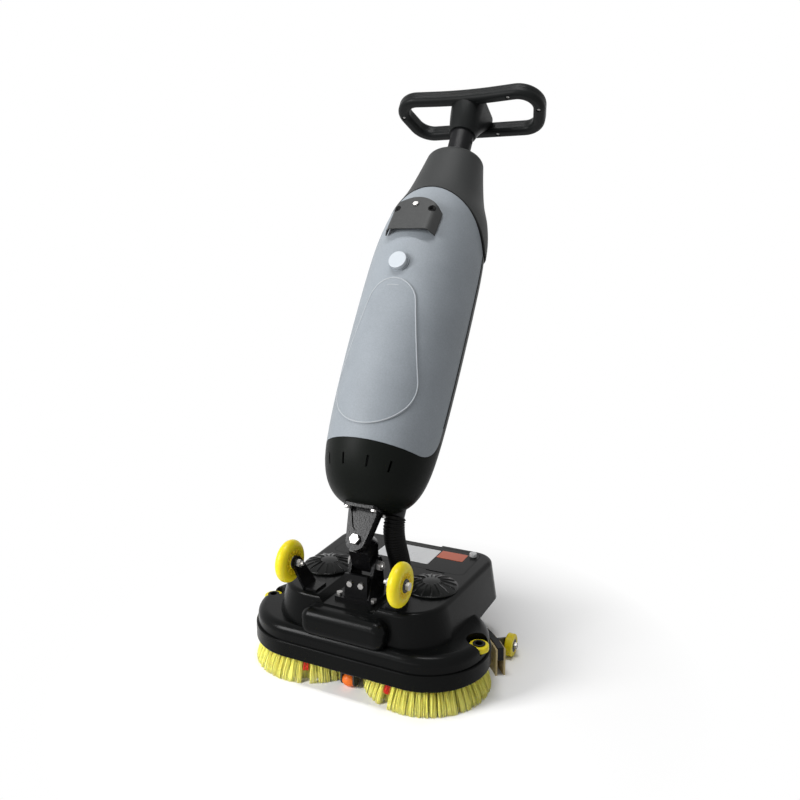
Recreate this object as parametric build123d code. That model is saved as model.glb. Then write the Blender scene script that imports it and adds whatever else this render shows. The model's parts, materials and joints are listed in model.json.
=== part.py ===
from build123d import *

import math
import os

os.makedirs("parts", exist_ok=True)

# Wet dry floor scrubber. Millimetres, +Z up, -Y is the front, floor at Z = 0.
# While it is modelled, X = 0 is the middle plane and Y = 0 the line of the two brush axes.
# The finished part is moved so that its origin is the middle of its footprint on the floor.

# Fits
RUN = 0.05              # radial running clearance of a shaft in its bore
GAP = 0.4               # seam between mouldings of one body
AIR = 0.3               # seat of a turning piece beside a fixed face

# Brushes
BRUSH_X = 119.5         # brush axis from the middle plane
TIP_RADIUS = 118.6      # radius of the bristle tips on the floor
ROOT_RADIUS = 98.0      # radius of the outer row where it leaves the block
BRISTLE_LENGTH = 45.0   # floor to the underside of the block
BLOCK_RADIUS = 104.0
BLOCK_THICKNESS = 13.0
TUFT = 5.4              # side of an outer tuft
BRISTLE_ROWS = 3
ROW_STEP = 15.0         # from one row to the next, at the block
OUTER_TUFTS = 84        # tufts in the outer row
BACKING = 3.0           # slice of the block that holds the tufts

# Skirt and deck housing
SKIRT_RADIUS = 118.5
SKIRT_WALL = 6.0
SKIRT_BOTTOM = 46.0
SKIRT_TOP = 76.0
WALL = 4.0              # housing wall
SHOULDER_TOP = 106.0
SHOULDER_STEP = 4.0     # shoulder stands in from the skirt's lip
SHOULDER_ROUND = 16.0
DECK_TOP = 166.0
BOX_FLOOR = 88.0        # underside of the battery box
BASE_FRONT = 97.0       # upper body at the box floor's level: half sizes and corners
BASE_SIDE = 185.0
BASE_REAR = 238.0
BASE_FRONT_ROUND = 88.0
BASE_REAR_ROUND = 46.0
TOP_FRONT = 86.0        # upper body at the deck top
TOP_SIDE_FRONT = 160.0
TOP_SIDE_REAR = 176.0
TOP_REAR = 234.0
TOP_FRONT_ROUND = 76.0
TOP_REAR_ROUND = 44.0
RIM_ROUND = 9.0
POD_WIDTH = 172.0       # bumper pod on the front
POD_BOTTOM = 97.0
POD_TOP = 151.0
POD_FRONT = 119.0
POD_ROUND = 22.0        # ends of the pod
POD_EDGE = 18.0         # edge round its face
SADDLE_FLOOR = 154.0    # recess in the front rim that seats the neck foot
SADDLE_HALF = 50.0
SADDLE_FLARE = 14.0
SADDLE_REAR = 28.0
NOTCH_HALF = 42.0       # finger notch in the rear edge of the box
NOTCH_FLARE = 12.0
NOTCH_DEPTH = 12.0
NOTCH_LENGTH = 13.0

# Chassis and drive
CHASSIS_RADIUS = 97.0
CHASSIS_THICKNESS = 6.0
MOTOR_X = 112.0
MOTOR_Y = 36.0          # motors stand behind the brush axes
MOTOR_RADIUS = 40.0
GEARBOX_HEIGHT = 24.0
GEARBOX_WALL = 6.0
SHAFT_RADIUS = 9.0
COVER_RADIUS = 48.0     # fluted motor cover
COVER_RISE = 20.0
COVER_HUB = 15.0
COVER_EDGE = 3.0
COVER_RIBS = 16
RIB_THICKNESS = 2.0
RIB_RISE = 2.2

# Battery box
LID_HALF = 146.0
LID_FRONT = 106.0
LID_REAR = 218.0
LID_THICKNESS = 4.0
LID_ROUND = 14.0
LID_LEDGE = 10.0
LEDGE_THICKNESS = 5.0
HINGE_X = 90.0          # lid hinges from the middle plane
HINGE_WIDTH = 26.0
HINGE_RADIUS = 2.0
HINGE_PIN = 1.0
HINGE_SET = 2.6         # hinge axis in front of the lid's edge
HINGE_DROP = 1.0        # hinge axis below the deck top
HINGE_LUG = 6.0
KNOB_X = 132.0
KNOB_Y = 204.0
KNOB_RADIUS = 7.5
KNOB_HEIGHT = 7.0
KNOB_SHANK = 3.0
BATTERY_WIDTH = 236.0
BATTERY_LENGTH = 96.0
BATTERY_HEIGHT = 54.0
BATTERY_FRONT = 122.0

# Front glide roller between the brushes
GLIDE_Y = -80.0
GLIDE_RADIUS = 13.0
GLIDE_WIDTH = 22.0
GLIDE_AXLE = 3.0
GLIDE_FORK = 3.0        # fork cheek thickness

# Transport wheels and corner rollers
WHEEL_X = 113.0
WHEEL_Y = -100.0
WHEEL_Z = 228.0
WHEEL_RADIUS = 39.0
WHEEL_WIDTH = 24.0
WHEEL_HUB = 23.0
AXLE_RADIUS = 4.0
ARM_THICKNESS = 6.0
ARM_FOOT_FRONT = -77.0
ARM_FOOT_REAR = -42.0
ARM_FOOT_WIDTH = 26.0
ROLLER_X = 222.0
ROLLER_Y = -2.0
ROLLER_RADIUS = 18.0
ROLLER_BORE = 10.0
ROLLER_HEIGHT = 11.0
ROLLER_POCKET = 23.0
POCKET_FLOOR = 86.0

# Squeegee
SQUEEGEE_CENTRE_Y = -100.0
FRONT_BLADE_RADIUS = 285.0
REAR_BLADE_RADIUS = 304.0
BLADE = 3.5
BLADE_HEIGHT = 52.0
CARRIER_BOTTOM = 30.0
CARRIER_TOP = 56.0
SQUEEGEE_ANGLE = 54.0   # half of the arc
GUIDE_X = 75.0
GUIDE_RADIUS = 4.5
GUIDE_HEAD = 5.6
GUIDE_BOSS = 13.0
GUIDE_BOSS_TOP = 68.0
SQUEEGEE_LIFT = 12.0
SUPPORT_X = 233.0
SUPPORT_Y = 151.0
SUPPORT_RADIUS = 22.0
SUPPORT_WIDTH = 15.0
SUPPORT_BOLT = 4.0
SUPPORT_ARM = 5.0
PORT_X = 150.0
PORT_RADIUS = 15.0
PORT_TOP = 80.0

# Suction duct and hose
DUCT_WALL = 2.0
DUCT_Z = 128.0
DUCT_LANE_Y = 98.0
DUCT_BEND = 20.0
HOSE_X = 42.0
SPIGOT_Y = 50.0
SPIGOT_RISE = 6.0
SPIGOT_FLANGE = 21.0
PIPE_RADIUS = 17.0
PIPE_WALL = 2.5
PIPE_N = 36.0           # riser behind the upright's axis
HOSE_RADIUS = 20.5
HOSE_ROOT = 18.6
HOSE_BORE = 17.2
HOSE_RIBS = 26
HOSE_PULL = 45.0        # how far each end of the hose runs straight on
HOSE_CUFF = 4.0         # overlap of the hose on each pipe

# Neck
LEAN = 32.0             # upright leans back by this angle
PITCH_Y = -15.0
PITCH_Z = 213.0
ROLL_S = 30.0           # roll axis above the pitch axis, along the upright
ROLL_N = -46.0          # upright's axis in front of the pitch axis
FOOT_PLATE = 6.0
FOOT_HALF = 42.0
FOOT_FRONT = -64.0
FOOT_REAR = 26.0
CHEEK = 6.5
KNUCKLE_HALF = 20.0
BARREL_RADIUS = 16.0
PITCH_BOLT = 6.0
ROLL_BOLT = 6.0
LUG_RADIUS = 20.0
LUG_FRONT = -19.0
LUG_REAR = 4.0
KNUCKLE_REAR = 40.0
FLANGE_HALF = 34.0
FLANGE_FRONT = -38.0
FLANGE_REAR = 18.0
FLANGE_THICKNESS = 6.0

# Upright: each station is height along the axis, half width, front depth, back depth
BODY_WALL = 3.5
BODY_STATIONS = [
    (62.0, 46.0, 44.0, 42.0),
    (76.0, 72.0, 68.0, 58.0),
    (98.0, 90.0, 86.0, 69.0),
    (130.0, 102.0, 102.0, 75.0),
    (180.0, 109.5, 112.0, 79.0),
    (260.0, 114.0, 121.0, 81.0),
    (380.0, 116.5, 127.5, 83.0),
    (500.0, 117.0, 129.0, 83.0),
    (590.0, 115.0, 124.0, 81.0),
    (645.0, 110.0, 114.0, 78.0),
    (690.0, 102.0, 99.0, 74.0),
    (735.0, 86.0, 81.0, 68.0),
    (790.0, 71.5, 68.0, 61.0),
    (850.0, 57.5, 56.0, 53.0),
    (878.0, 51.0, 50.0, 49.0),
]
BODY_SECTIONS = 30      # sections of the upright's smooth form
COLLAR_ROUND = 14.0
ARCH_SIDE = 612.0       # tank top at the side seam
ARCH_SLOPE = 1.31       # rise of the tank top for each step forward
TANK_LOW = 166.0        # tank bottom in front
TANK_LOW_N = -130.0
TANK_CORNER = 163.0     # tank bottom where its rear corner starts to round up
TANK_CORNER_N = -50.0
TANK_SIDE = 208.0       # tank bottom at the side seam
PANEL_RISE = 1.4        # raised panel on the tank's front
PANEL_TOP = 431.0
PANEL_TOP_RADIUS = 52.0
PANEL_LOW = 275.0
PANEL_LOW_RADIUS = 83.5
CAP_S = 517.0
CAP_RADIUS = 18.5
CAP_HEIGHT = 9.0
CAP_FLUTES = 36
CAP_PLUG = 12.0
CAP_PLUG_DEPTH = 9.0
CAP_SEAT = 21.0
CAP_FRONT = 130.5       # underside of the cap from the upright's axis
VENT_WIDTH = 4.0
VENT_HEIGHT = 20.0
VENT_S = 128.0
VENT_ANGLES = (-38.0, -14.0, 14.0, 38.0)
HOOK_LOW = 588.0        # hook bracket on the tank's front
HOOK_TOP = 668.0
HOOK_FACE_HALF = 43.0
HOOK_HALF = 53.0
HOOK_BACK = 21.0
HOOK_FOLD = 11.0
HOOK_CORNER = 24.0      # top corners of the bracket
HOOK_ARCH = 5.0         # rise of its top edge
HOOK_SHEET = 2.5
HOOK_STAND = 128.0
HOOK_TILT = -11.0
HOOK_HOLE = 5.0
HOOK_SCREW = 3.0
HOOK_BOSS = 8.0
VACUUM_RADIUS = 42.0
VACUUM_N = -18.0
VACUUM_X = -10.0
VACUUM_TOP = 158.0
RISER_TOP = 560.0
PUMP_WIDTH = 40.0
PUMP_DEPTH = 26.0
PUMP_N = 2.0
BOARD_WIDTH = 96.0
BOARD_LENGTH = 62.0
BOARD_THICKNESS = 1.8
BOARD_POST = 5.0

# Handle
TUBE_RADIUS = 26.0
TUBE_WALL = 4.0
TUBE_BOTTOM = 772.0
SLEEVE_BOTTOM = 795.0
SLEEVE_WALL = 5.0
HUB_BOTTOM = 922.0
TUBE_TOP = 962.0
LOOP_S = 1000.0
LOOP_FRONT = -43.0
LOOP_BOW = 12.0
LOOP_REAR = 81.0
LOOP_FRONT_HALF = 176.0
LOOP_REAR_HALF = 145.0
LOOP_ROUND = 43.0
LOOP_BOW_RADIUS = 1100.0
GRIP_WIDTH = 27.0
GRIP_HEIGHT = 32.0
GRIP_ROUND = 10.0
HUB_HALF = 38.0
HUB_COVER = 13.0
SCREW_RADIUS = 2.6
PANEL_WIDTH = 44.0
PANEL_LENGTH = 64.0
PANEL_THICKNESS = 4.0
PANEL_STAND = 1.0       # control panel above the hub's cover
BUTTON_RADIUS = 9.0
BUTTON_HEIGHT = 6.0
BUTTON_TRAVEL = 2.5
HANDLE_SCREWS = (0.06, 0.27, 0.42, 0.53, 0.73, 0.87)    # places along the grip's middle line

UPWARD = (Align.CENTER, Align.CENTER, Align.MIN)
SIDES = {"left": -1, "right": 1}
parts = {}


def tube(outer, inner, height):
    return Cylinder(outer, height, align=UPWARD) - Cylinder(inner, height, align=UPWARD)


def across(shape):
    """Turn a shape that stands along Z so that it lies along X."""
    return Rot(0, 90, 0) * shape


def hexagon(radius, height):
    return extrude(RegularPolygon(radius, 6), height)


def bolt(shank, length, head, head_height, washer=0.0):
    """Hex bolt along +Z: the head hangs below Z = 0, the shank rises above it."""
    body = Pos(0, 0, -head_height) * hexagon(head, head_height) + Cylinder(shank, length, align=UPWARD)
    if washer:
        body += Cylinder(washer, head_height / 4, align=UPWARD)
    return body


def upright_place():
    """The upright's own frame: s runs up its axis, n runs to its back."""
    angle = math.radians(LEAN)
    y = PITCH_Y + ROLL_S * math.sin(angle) + ROLL_N * math.cos(angle)
    z = PITCH_Z + ROLL_S * math.cos(angle) - ROLL_N * math.sin(angle)
    return Pos(0, y, z) * Rot(-LEAN, 0, 0)


UPRIGHT = upright_place()


# Deck

def stadium(radius, low, high):
    return Pos(0, 0, low) * extrude(SlotCenterToCenter(2 * BRUSH_X, 2 * radius), high - low)


def make_splash_skirt():
    skirt = stadium(SKIRT_RADIUS, SKIRT_BOTTOM, SKIRT_TOP)
    skirt = chamfer(skirt.edges().group_by(Axis.Z)[-1], SKIRT_WALL / 4)
    skirt = fillet(skirt.edges().group_by(Axis.Z)[0], SKIRT_WALL / 2)
    return skirt - stadium(SKIRT_RADIUS - SKIRT_WALL, SKIRT_BOTTOM, SKIRT_TOP)


def upper_outline(front, side_front, side_rear, rear, front_round, rear_round):
    """Plan of the upper body: a straight front, large front corners and sides that widen rearwards."""
    corners = [(-side_front, -front), (side_front, -front), (side_rear, rear), (-side_rear, rear)]
    line = FilletPolyline(*corners, radius=[front_round, front_round, rear_round, rear_round], close=True)
    return make_face(line)


def upper_body(inset, low, high):
    """Loft from the plan at the box floor to the plan at the deck top, taken in by a wall."""
    def plan_at(z):
        share = (z - BOX_FLOOR) / (DECK_TOP - BOX_FLOOR)

        def mix(base, top):
            return base + (top - base) * share - inset
        outline = upper_outline(
            mix(BASE_FRONT, TOP_FRONT), mix(BASE_SIDE, TOP_SIDE_FRONT), mix(BASE_SIDE, TOP_SIDE_REAR),
            mix(BASE_REAR, TOP_REAR), mix(BASE_FRONT_ROUND, TOP_FRONT_ROUND),
            mix(BASE_REAR_ROUND, TOP_REAR_ROUND))
        return Pos(0, 0, z) * outline
    return loft([plan_at(low), plan_at(high)], ruled=True)


def saddle_cut(grow):
    """Recess for the neck foot, with flanks that flare like the moulded rim."""
    half = SADDLE_HALF + grow
    floor = SADDLE_FLOOR - grow
    height = DECK_TOP + WALL - floor
    flare = SADDLE_FLARE * height / (DECK_TOP - SADDLE_FLOOR)
    outline = Polygon((-half, floor), (half, floor), (half + flare, floor + height),
                      (-half - flare, floor + height), align=None)
    depth = SKIRT_RADIUS + SADDLE_REAR + grow
    return Pos(0, SADDLE_REAR + grow, 0) * extrude(Plane.XZ * outline, depth)


def notch_cut(grow):
    half = NOTCH_HALF + grow
    floor = DECK_TOP - NOTCH_DEPTH - grow
    flare = NOTCH_FLARE * (NOTCH_DEPTH + WALL + grow) / NOTCH_DEPTH
    top = DECK_TOP + WALL
    outline = Polygon((-half, floor), (half, floor), (half + flare, top), (-half - flare, top), align=None)
    length = NOTCH_LENGTH + grow
    return Pos(0, TOP_REAR + WALL, 0) * extrude(Plane.XZ * outline, length + WALL)


def roller_pockets(radius, floor):
    pocket = Cylinder(radius, DECK_TOP - floor, align=UPWARD)
    return [Pos(side * ROLLER_X, ROLLER_Y, floor) * pocket for side in SIDES.values()]


def lid_outline(grow):
    size = RectangleRounded(2 * (LID_HALF + grow), LID_REAR - LID_FRONT + 2 * grow, LID_ROUND + grow)
    return Pos(0, (LID_FRONT + LID_REAR) / 2) * size


def make_deck_housing():
    shoulder = stadium(SKIRT_RADIUS - SHOULDER_STEP, SKIRT_TOP, SHOULDER_TOP)
    shoulder = fillet(shoulder.edges().group_by(Axis.Z)[-1], SHOULDER_ROUND)
    upper = upper_body(0, BOX_FLOOR, DECK_TOP)
    upper = fillet(upper.edges().group_by(Axis.Z)[-1], RIM_ROUND)
    pod = Pos(0, -POD_FRONT / 2, POD_BOTTOM) * Box(POD_WIDTH, POD_FRONT, POD_TOP - POD_BOTTOM, align=UPWARD)
    pod = fillet(pod.edges().filter_by(Axis.Y), POD_ROUND)
    pod = fillet(pod.faces().sort_by(Axis.Y)[0].edges(), POD_EDGE)
    outer = shoulder + upper + pod - saddle_cut(0) - notch_cut(0) - roller_pockets(ROLLER_POCKET, POCKET_FLOOR)

    cavity = stadium(SKIRT_RADIUS - SHOULDER_STEP - WALL, SKIRT_TOP - WALL, SHOULDER_TOP - WALL)
    cavity = fillet(cavity.edges().group_by(Axis.Z)[-1], SHOULDER_ROUND - WALL)
    cavity += Pos(0, -POD_FRONT / 2, POD_BOTTOM + 3 * WALL) * Box(
        POD_WIDTH - 6 * WALL, POD_FRONT - 6 * WALL, POD_TOP - POD_BOTTOM - 6 * WALL, align=UPWARD)
    cavity += upper_body(WALL, BOX_FLOOR + WALL, DECK_TOP - WALL)
    cavity -= saddle_cut(WALL)
    cavity -= notch_cut(WALL)
    cavity -= roller_pockets(ROLLER_POCKET + WALL, POCKET_FLOOR - WALL)
    ledge_low = DECK_TOP - LID_THICKNESS - LEDGE_THICKNESS
    ledge = Pos(0, 0, ledge_low) * extrude(lid_outline(WALL), DECK_TOP - ledge_low)
    housing = outer - (cavity - ledge)

    rebate = Pos(0, 0, DECK_TOP - LID_THICKNESS) * extrude(lid_outline(GAP), LID_THICKNESS)
    mouth = Pos(0, 0, ledge_low) * extrude(lid_outline(-LID_LEDGE), LEDGE_THICKNESS)
    housing -= [rebate, mouth]
    for side in SIDES.values():
        housing = housing - hinge_pocket(side) + hinge_lugs(side) - hinge_place(side) * Cylinder(
            HINGE_PIN + RUN, hinge_reach())
        shank_hole = Cylinder(2 * KNOB_SHANK, LEDGE_THICKNESS, align=UPWARD)
        housing -= Pos(side * KNOB_X, KNOB_Y, ledge_low) * shank_hole
        motor_hole = Cylinder(MOTOR_RADIUS + WALL, 2 * WALL, align=UPWARD)
        housing -= Pos(side * MOTOR_X, MOTOR_Y, DECK_TOP - WALL) * motor_hole
    duct_hole = Cylinder(PORT_RADIUS + DUCT_WALL + AIR, 2 * WALL)
    housing -= Pos(HOSE_X, SPIGOT_Y, DECK_TOP - WALL / 2) * duct_hole
    housing -= Pos(PORT_X, port_y(), BOX_FLOOR + WALL / 2) * duct_hole
    return housing


def hinge_place(side):
    """Middle of one lid hinge, Z along its axis."""
    return Pos(side * HINGE_X, LID_FRONT - HINGE_SET, DECK_TOP - HINGE_DROP) * Rot(0, 90, 0)


def hinge_pocket(side):
    """Room in the rim for the lid's hinge barrel."""
    room = HINGE_RADIUS + AIR
    box = Box(HINGE_WIDTH + 2 * AIR, room + HINGE_SET + GAP, room + HINGE_DROP,
              align=(Align.CENTER, Align.MIN, Align.MIN))
    return Pos(side * HINGE_X, LID_FRONT - HINGE_SET - room, DECK_TOP - HINGE_DROP - room) * box


def hinge_reach():
    """Length of one lid hinge over both its lugs."""
    return HINGE_WIDTH + 2 * AIR + 2 * HINGE_LUG


def hinge_lugs(side):
    """Lugs on the rim beside the barrel."""
    lug = Cylinder(HINGE_RADIUS, HINGE_LUG)
    shift = (hinge_reach() - HINGE_LUG) / 2
    return [hinge_place(side) * Pos(0, 0, way * shift) * lug for way in SIDES.values()]


def make_chassis():
    plate = stadium(CHASSIS_RADIUS, chassis_low(), SHOULDER_TOP - WALL)
    plate -= roller_pockets(ROLLER_POCKET + 2 * WALL, chassis_low() - WALL)
    for side in SIDES.values():
        plate -= Pos(side * MOTOR_X, MOTOR_Y, chassis_low()) * Cylinder(coupling_radius() + AIR,
                                                                       4 * CHASSIS_THICKNESS)
    return plate


def coupling_radius():
    return MOTOR_RADIUS / 2


def chassis_low():
    return SHOULDER_TOP - WALL - CHASSIS_THICKNESS


def port_y():
    """Where the squeegee's arc passes the suction port."""
    middle = (FRONT_BLADE_RADIUS + REAR_BLADE_RADIUS) / 2
    return SQUEEGEE_CENTRE_Y + math.sqrt(middle ** 2 - PORT_X ** 2)


def make_motor_cover(side):
    """Low fluted dome: a cone with a flat hub and ribs that stand up from it."""
    outline = Polygon((0, 0), (COVER_RADIUS, 0), (COVER_RADIUS, COVER_EDGE), (COVER_HUB, COVER_RISE),
                      (0, COVER_RISE), align=None)
    dome = revolve(Plane.XZ * outline, Axis.Z)
    rib = Polygon((0, 0), (COVER_RADIUS - RIB_RISE, 0), (COVER_RADIUS - RIB_RISE, COVER_EDGE + RIB_RISE),
                  (COVER_HUB, COVER_RISE + RIB_RISE), (0, COVER_RISE + RIB_RISE), align=None)
    plate = extrude(Plane.XZ * rib, RIB_THICKNESS / 2, both=True)
    for index in range(COVER_RIBS):
        dome += Rot(0, 0, 360 * index / COVER_RIBS) * plate
    dome -= Cylinder(COVER_HUB - RIB_RISE, 4 * RIB_RISE).move(Pos(0, 0, COVER_RISE + 2 * RIB_RISE))
    hollow = Polygon((0, 0), (COVER_RADIUS - 2 * WALL, 0), (COVER_HUB, COVER_RISE - WALL),
                     (0, COVER_RISE - WALL), align=None)
    dome -= revolve(Plane.XZ * hollow, Axis.Z)
    return Pos(side * MOTOR_X, MOTOR_Y, DECK_TOP) * dome


def make_gear_motor(side):
    """Motor on the chassis plate, offset spur gearbox below it with the output on the brush axis."""
    low = chassis_low() - GEARBOX_HEIGHT
    motor_x = side * (MOTOR_X - BRUSH_X)
    case = make_hull((Sketch() + [Circle(MOTOR_RADIUS - WALL).move(Pos(motor_x, MOTOR_Y)),
                                  Circle(SHAFT_RADIUS + 2 * GEARBOX_WALL)]).edges())
    gearbox = Pos(0, 0, low) * extrude(case, GEARBOX_HEIGHT)
    gearbox -= Pos(0, 0, low) * Cylinder(SHAFT_RADIUS + RUN, GEARBOX_HEIGHT - GEARBOX_WALL, align=UPWARD)
    motor_low = SHOULDER_TOP - WALL
    motor = Pos(motor_x, MOTOR_Y, motor_low) * Cylinder(MOTOR_RADIUS, DECK_TOP - WALL - motor_low, align=UPWARD)
    motor = chamfer(motor.edges().group_by(Axis.Z)[-1], WALL)
    neck = Pos(motor_x, MOTOR_Y, chassis_low()) * Cylinder(coupling_radius(), CHASSIS_THICKNESS, align=UPWARD)
    return Pos(side * BRUSH_X, 0, 0) * (gearbox + neck + motor)


def block_top():
    return BRISTLE_LENGTH + BLOCK_THICKNESS


def make_drive_shaft(side):
    top = chassis_low() - GEARBOX_WALL - AIR
    shaft = Pos(0, 0, BRISTLE_LENGTH + BACKING) * Cylinder(SHAFT_RADIUS, top - BRISTLE_LENGTH - BACKING,
                                                           align=UPWARD)
    flange = Pos(0, 0, block_top()) * Cylinder(3 * SHAFT_RADIUS, GEARBOX_WALL, align=UPWARD)
    return Pos(side * BRUSH_X, 0, 0) * (shaft + flange)


def make_brush_block(side):
    """Round block with a raised rim and a bore for the drive shaft."""
    block = Pos(0, 0, BRISTLE_LENGTH + BACKING) * Cylinder(BLOCK_RADIUS, BLOCK_THICKNESS - BACKING, align=UPWARD)
    block = chamfer(block.edges().group_by(Axis.Z)[-1], BACKING)
    block -= Pos(0, 0, BRISTLE_LENGTH) * Cylinder(SHAFT_RADIUS, 2 * BLOCK_THICKNESS, align=UPWARD)
    return Pos(side * BRUSH_X, 0, 0) * block


def make_bristles(side):
    """Rows of square tufts that lean outwards, on the slice of the block that holds them."""
    backing = Pos(0, 0, BRISTLE_LENGTH) * tube(BLOCK_RADIUS, SHAFT_RADIUS, BACKING)
    tufts = []
    flare = TIP_RADIUS - TUFT / 2 - (ROOT_RADIUS - TUFT / 2)
    for row in range(BRISTLE_ROWS):
        root = ROOT_RADIUS - TUFT / 2 - row * ROW_STEP
        lean = flare * (1 - row / BRISTLE_ROWS)
        count = round(OUTER_TUFTS * root / ROOT_RADIUS)
        reach = Vector(lean, 0, -BRISTLE_LENGTH)
        tuft = extrude(Pos(root, 0, BRISTLE_LENGTH) * Rectangle(TUFT, TUFT), reach.length, dir=reach)
        tufts += [Rot(0, 0, 360 * index / count) * tuft for index in range(count)]
    return Pos(side * BRUSH_X, 0, 0) * (backing + tufts)


def make_battery_lid():
    low = DECK_TOP - LID_THICKNESS
    lid = Pos(0, 0, low) * extrude(lid_outline(-GAP), LID_THICKNESS)
    for side in SIDES.values():
        lid += hinge_barrel(side)
        lid -= Pos(side * KNOB_X, KNOB_Y, low) * Cylinder(KNOB_SHANK + RUN, LID_THICKNESS, align=UPWARD)
    return lid


def hinge_barrel(side):
    """Barrel on the lid's front edge, with a pin at each end and a web to the lid."""
    barrel = Cylinder(HINGE_RADIUS, HINGE_WIDTH)
    barrel += Cylinder(HINGE_PIN, hinge_reach() - HINGE_LUG / 2)
    web = Box(HINGE_WIDTH, HINGE_SET + 2 * GAP, HINGE_RADIUS, align=(Align.CENTER, Align.MIN, Align.CENTER))
    axis = Pos(side * HINGE_X, LID_FRONT - HINGE_SET, DECK_TOP - HINGE_DROP)
    return hinge_place(side) * barrel + axis * web


def make_lid_knob(side):
    head = Cylinder(KNOB_RADIUS, KNOB_HEIGHT, align=UPWARD)
    head = fillet(head.edges().group_by(Axis.Z)[-1], KNOB_HEIGHT / 4)
    grip = Box(2 * KNOB_RADIUS, KNOB_SHANK, KNOB_HEIGHT / 3, align=UPWARD)
    knob = head - [Pos(0, way * KNOB_RADIUS, KNOB_HEIGHT * 2 / 3) * grip for way in SIDES.values()]
    shank = Pos(0, 0, AIR) * Cylinder(KNOB_SHANK, LID_THICKNESS + LEDGE_THICKNESS,
                                      align=(Align.CENTER, Align.CENTER, Align.MAX))
    return Pos(side * KNOB_X, KNOB_Y, DECK_TOP) * (Pos(0, 0, AIR) * knob + shank)


def make_battery():
    size = Box(BATTERY_WIDTH, BATTERY_LENGTH, BATTERY_HEIGHT, align=(Align.CENTER, Align.MIN, Align.MIN))
    pack = Pos(0, BATTERY_FRONT, BOX_FLOOR + WALL) * size
    return chamfer(pack.edges().filter_by(Axis.Z), WALL)


def make_suction_duct():
    """Pipe from the squeegee's port, past the battery and the motor, up to the hose spigot."""
    top = DECK_TOP + SPIGOT_RISE
    route = FilletPolyline(
        (PORT_X, port_y(), PORT_TOP - WALL), (PORT_X, port_y(), DUCT_Z), (PORT_X, DUCT_LANE_Y, DUCT_Z),
        (HOSE_X, DUCT_LANE_Y, DUCT_Z), (HOSE_X, SPIGOT_Y, DUCT_Z), (HOSE_X, SPIGOT_Y, top), radius=DUCT_BEND)
    start = Plane(origin=route @ 0, z_dir=route % 0)
    wall = start * (Circle(PORT_RADIUS + DUCT_WALL) - Circle(PORT_RADIUS + AIR))
    duct = sweep(wall, path=route)
    flange = tube(SPIGOT_FLANGE, PORT_RADIUS + AIR, WALL / 2)
    return duct + Pos(HOSE_X, SPIGOT_Y, DECK_TOP) * flange


# Front glide and running gear

def make_glide_fork():
    """Stem under the chassis with two cheeks and the roller's axle."""
    inner = GLIDE_WIDTH / 2 + AIR
    top = chassis_low()
    bridge_low = 2 * GLIDE_RADIUS + 2 * AIR
    cheek = Pos(0, 0, GLIDE_RADIUS) * Cylinder(GLIDE_RADIUS - GLIDE_FORK, GLIDE_FORK, rotation=(0, 90, 0))
    web = Box(GLIDE_FORK, 2 * (GLIDE_RADIUS - GLIDE_FORK), bridge_low - GLIDE_RADIUS + GLIDE_FORK, align=UPWARD)
    cheek += Pos(0, 0, GLIDE_RADIUS) * web
    fork = Pos(0, 0, bridge_low) * Box(2 * (inner + GLIDE_FORK), 2 * (GLIDE_RADIUS - GLIDE_FORK), GLIDE_FORK,
                                       align=UPWARD)
    for side in SIDES.values():
        fork += Pos(side * (inner + GLIDE_FORK / 2), 0, 0) * cheek
    fork += Pos(0, 0, GLIDE_RADIUS) * Cylinder(GLIDE_AXLE, 2 * inner + GLIDE_FORK, rotation=(0, 90, 0))
    fork += Pos(0, 0, bridge_low) * Cylinder(GLIDE_RADIUS - GLIDE_FORK, top - bridge_low, align=UPWARD)
    return Pos(0, GLIDE_Y, 0) * fork


def make_glide_roller():
    """Barrel-shaped roller, widest in the middle."""
    half = GLIDE_WIDTH / 2
    shoulder = GLIDE_RADIUS * 0.7
    outline = make_face([Line((GLIDE_AXLE + RUN, -half), (shoulder, -half)),
                         ThreePointArc((shoulder, -half), (GLIDE_RADIUS, 0), (shoulder, half)),
                         Line((shoulder, half), (GLIDE_AXLE + RUN, half)),
                         Line((GLIDE_AXLE + RUN, half), (GLIDE_AXLE + RUN, -half))])
    return Pos(0, GLIDE_Y, GLIDE_RADIUS) * across(revolve(Plane.XZ * outline, Axis.Z))


def make_transport_wheel(side):
    """Skate wheel: rounded tread on a narrower hub, with a ring of lightening dimples."""
    half = WHEEL_WIDTH / 2
    hub_half = half - 2.0
    bore = AXLE_RADIUS + RUN
    outline = make_face([Line((bore, -half), (WHEEL_HUB / 2, -half)),
                         Line((WHEEL_HUB / 2, -half), (WHEEL_HUB / 2 + 2, -hub_half + 2)),
                         Line((WHEEL_HUB / 2 + 2, -hub_half + 2), (WHEEL_HUB, -hub_half)),
                         ThreePointArc((WHEEL_HUB, -hub_half), (WHEEL_RADIUS, 0), (WHEEL_HUB, hub_half)),
                         Line((WHEEL_HUB, hub_half), (WHEEL_HUB / 2 + 2, hub_half - 2)),
                         Line((WHEEL_HUB / 2 + 2, hub_half - 2), (WHEEL_HUB / 2, half)),
                         Line((WHEEL_HUB / 2, half), (bore, half)),
                         Line((bore, half), (bore, -half))])
    return Pos(side * WHEEL_X, WHEEL_Y, WHEEL_Z) * across(revolve(Plane.XZ * outline, Axis.Z))


def arm_x():
    """Middle of the arm plate, on the inner side of the wheel."""
    return WHEEL_X - WHEEL_WIDTH / 2 - AIR - ARM_THICKNESS / 2


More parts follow.
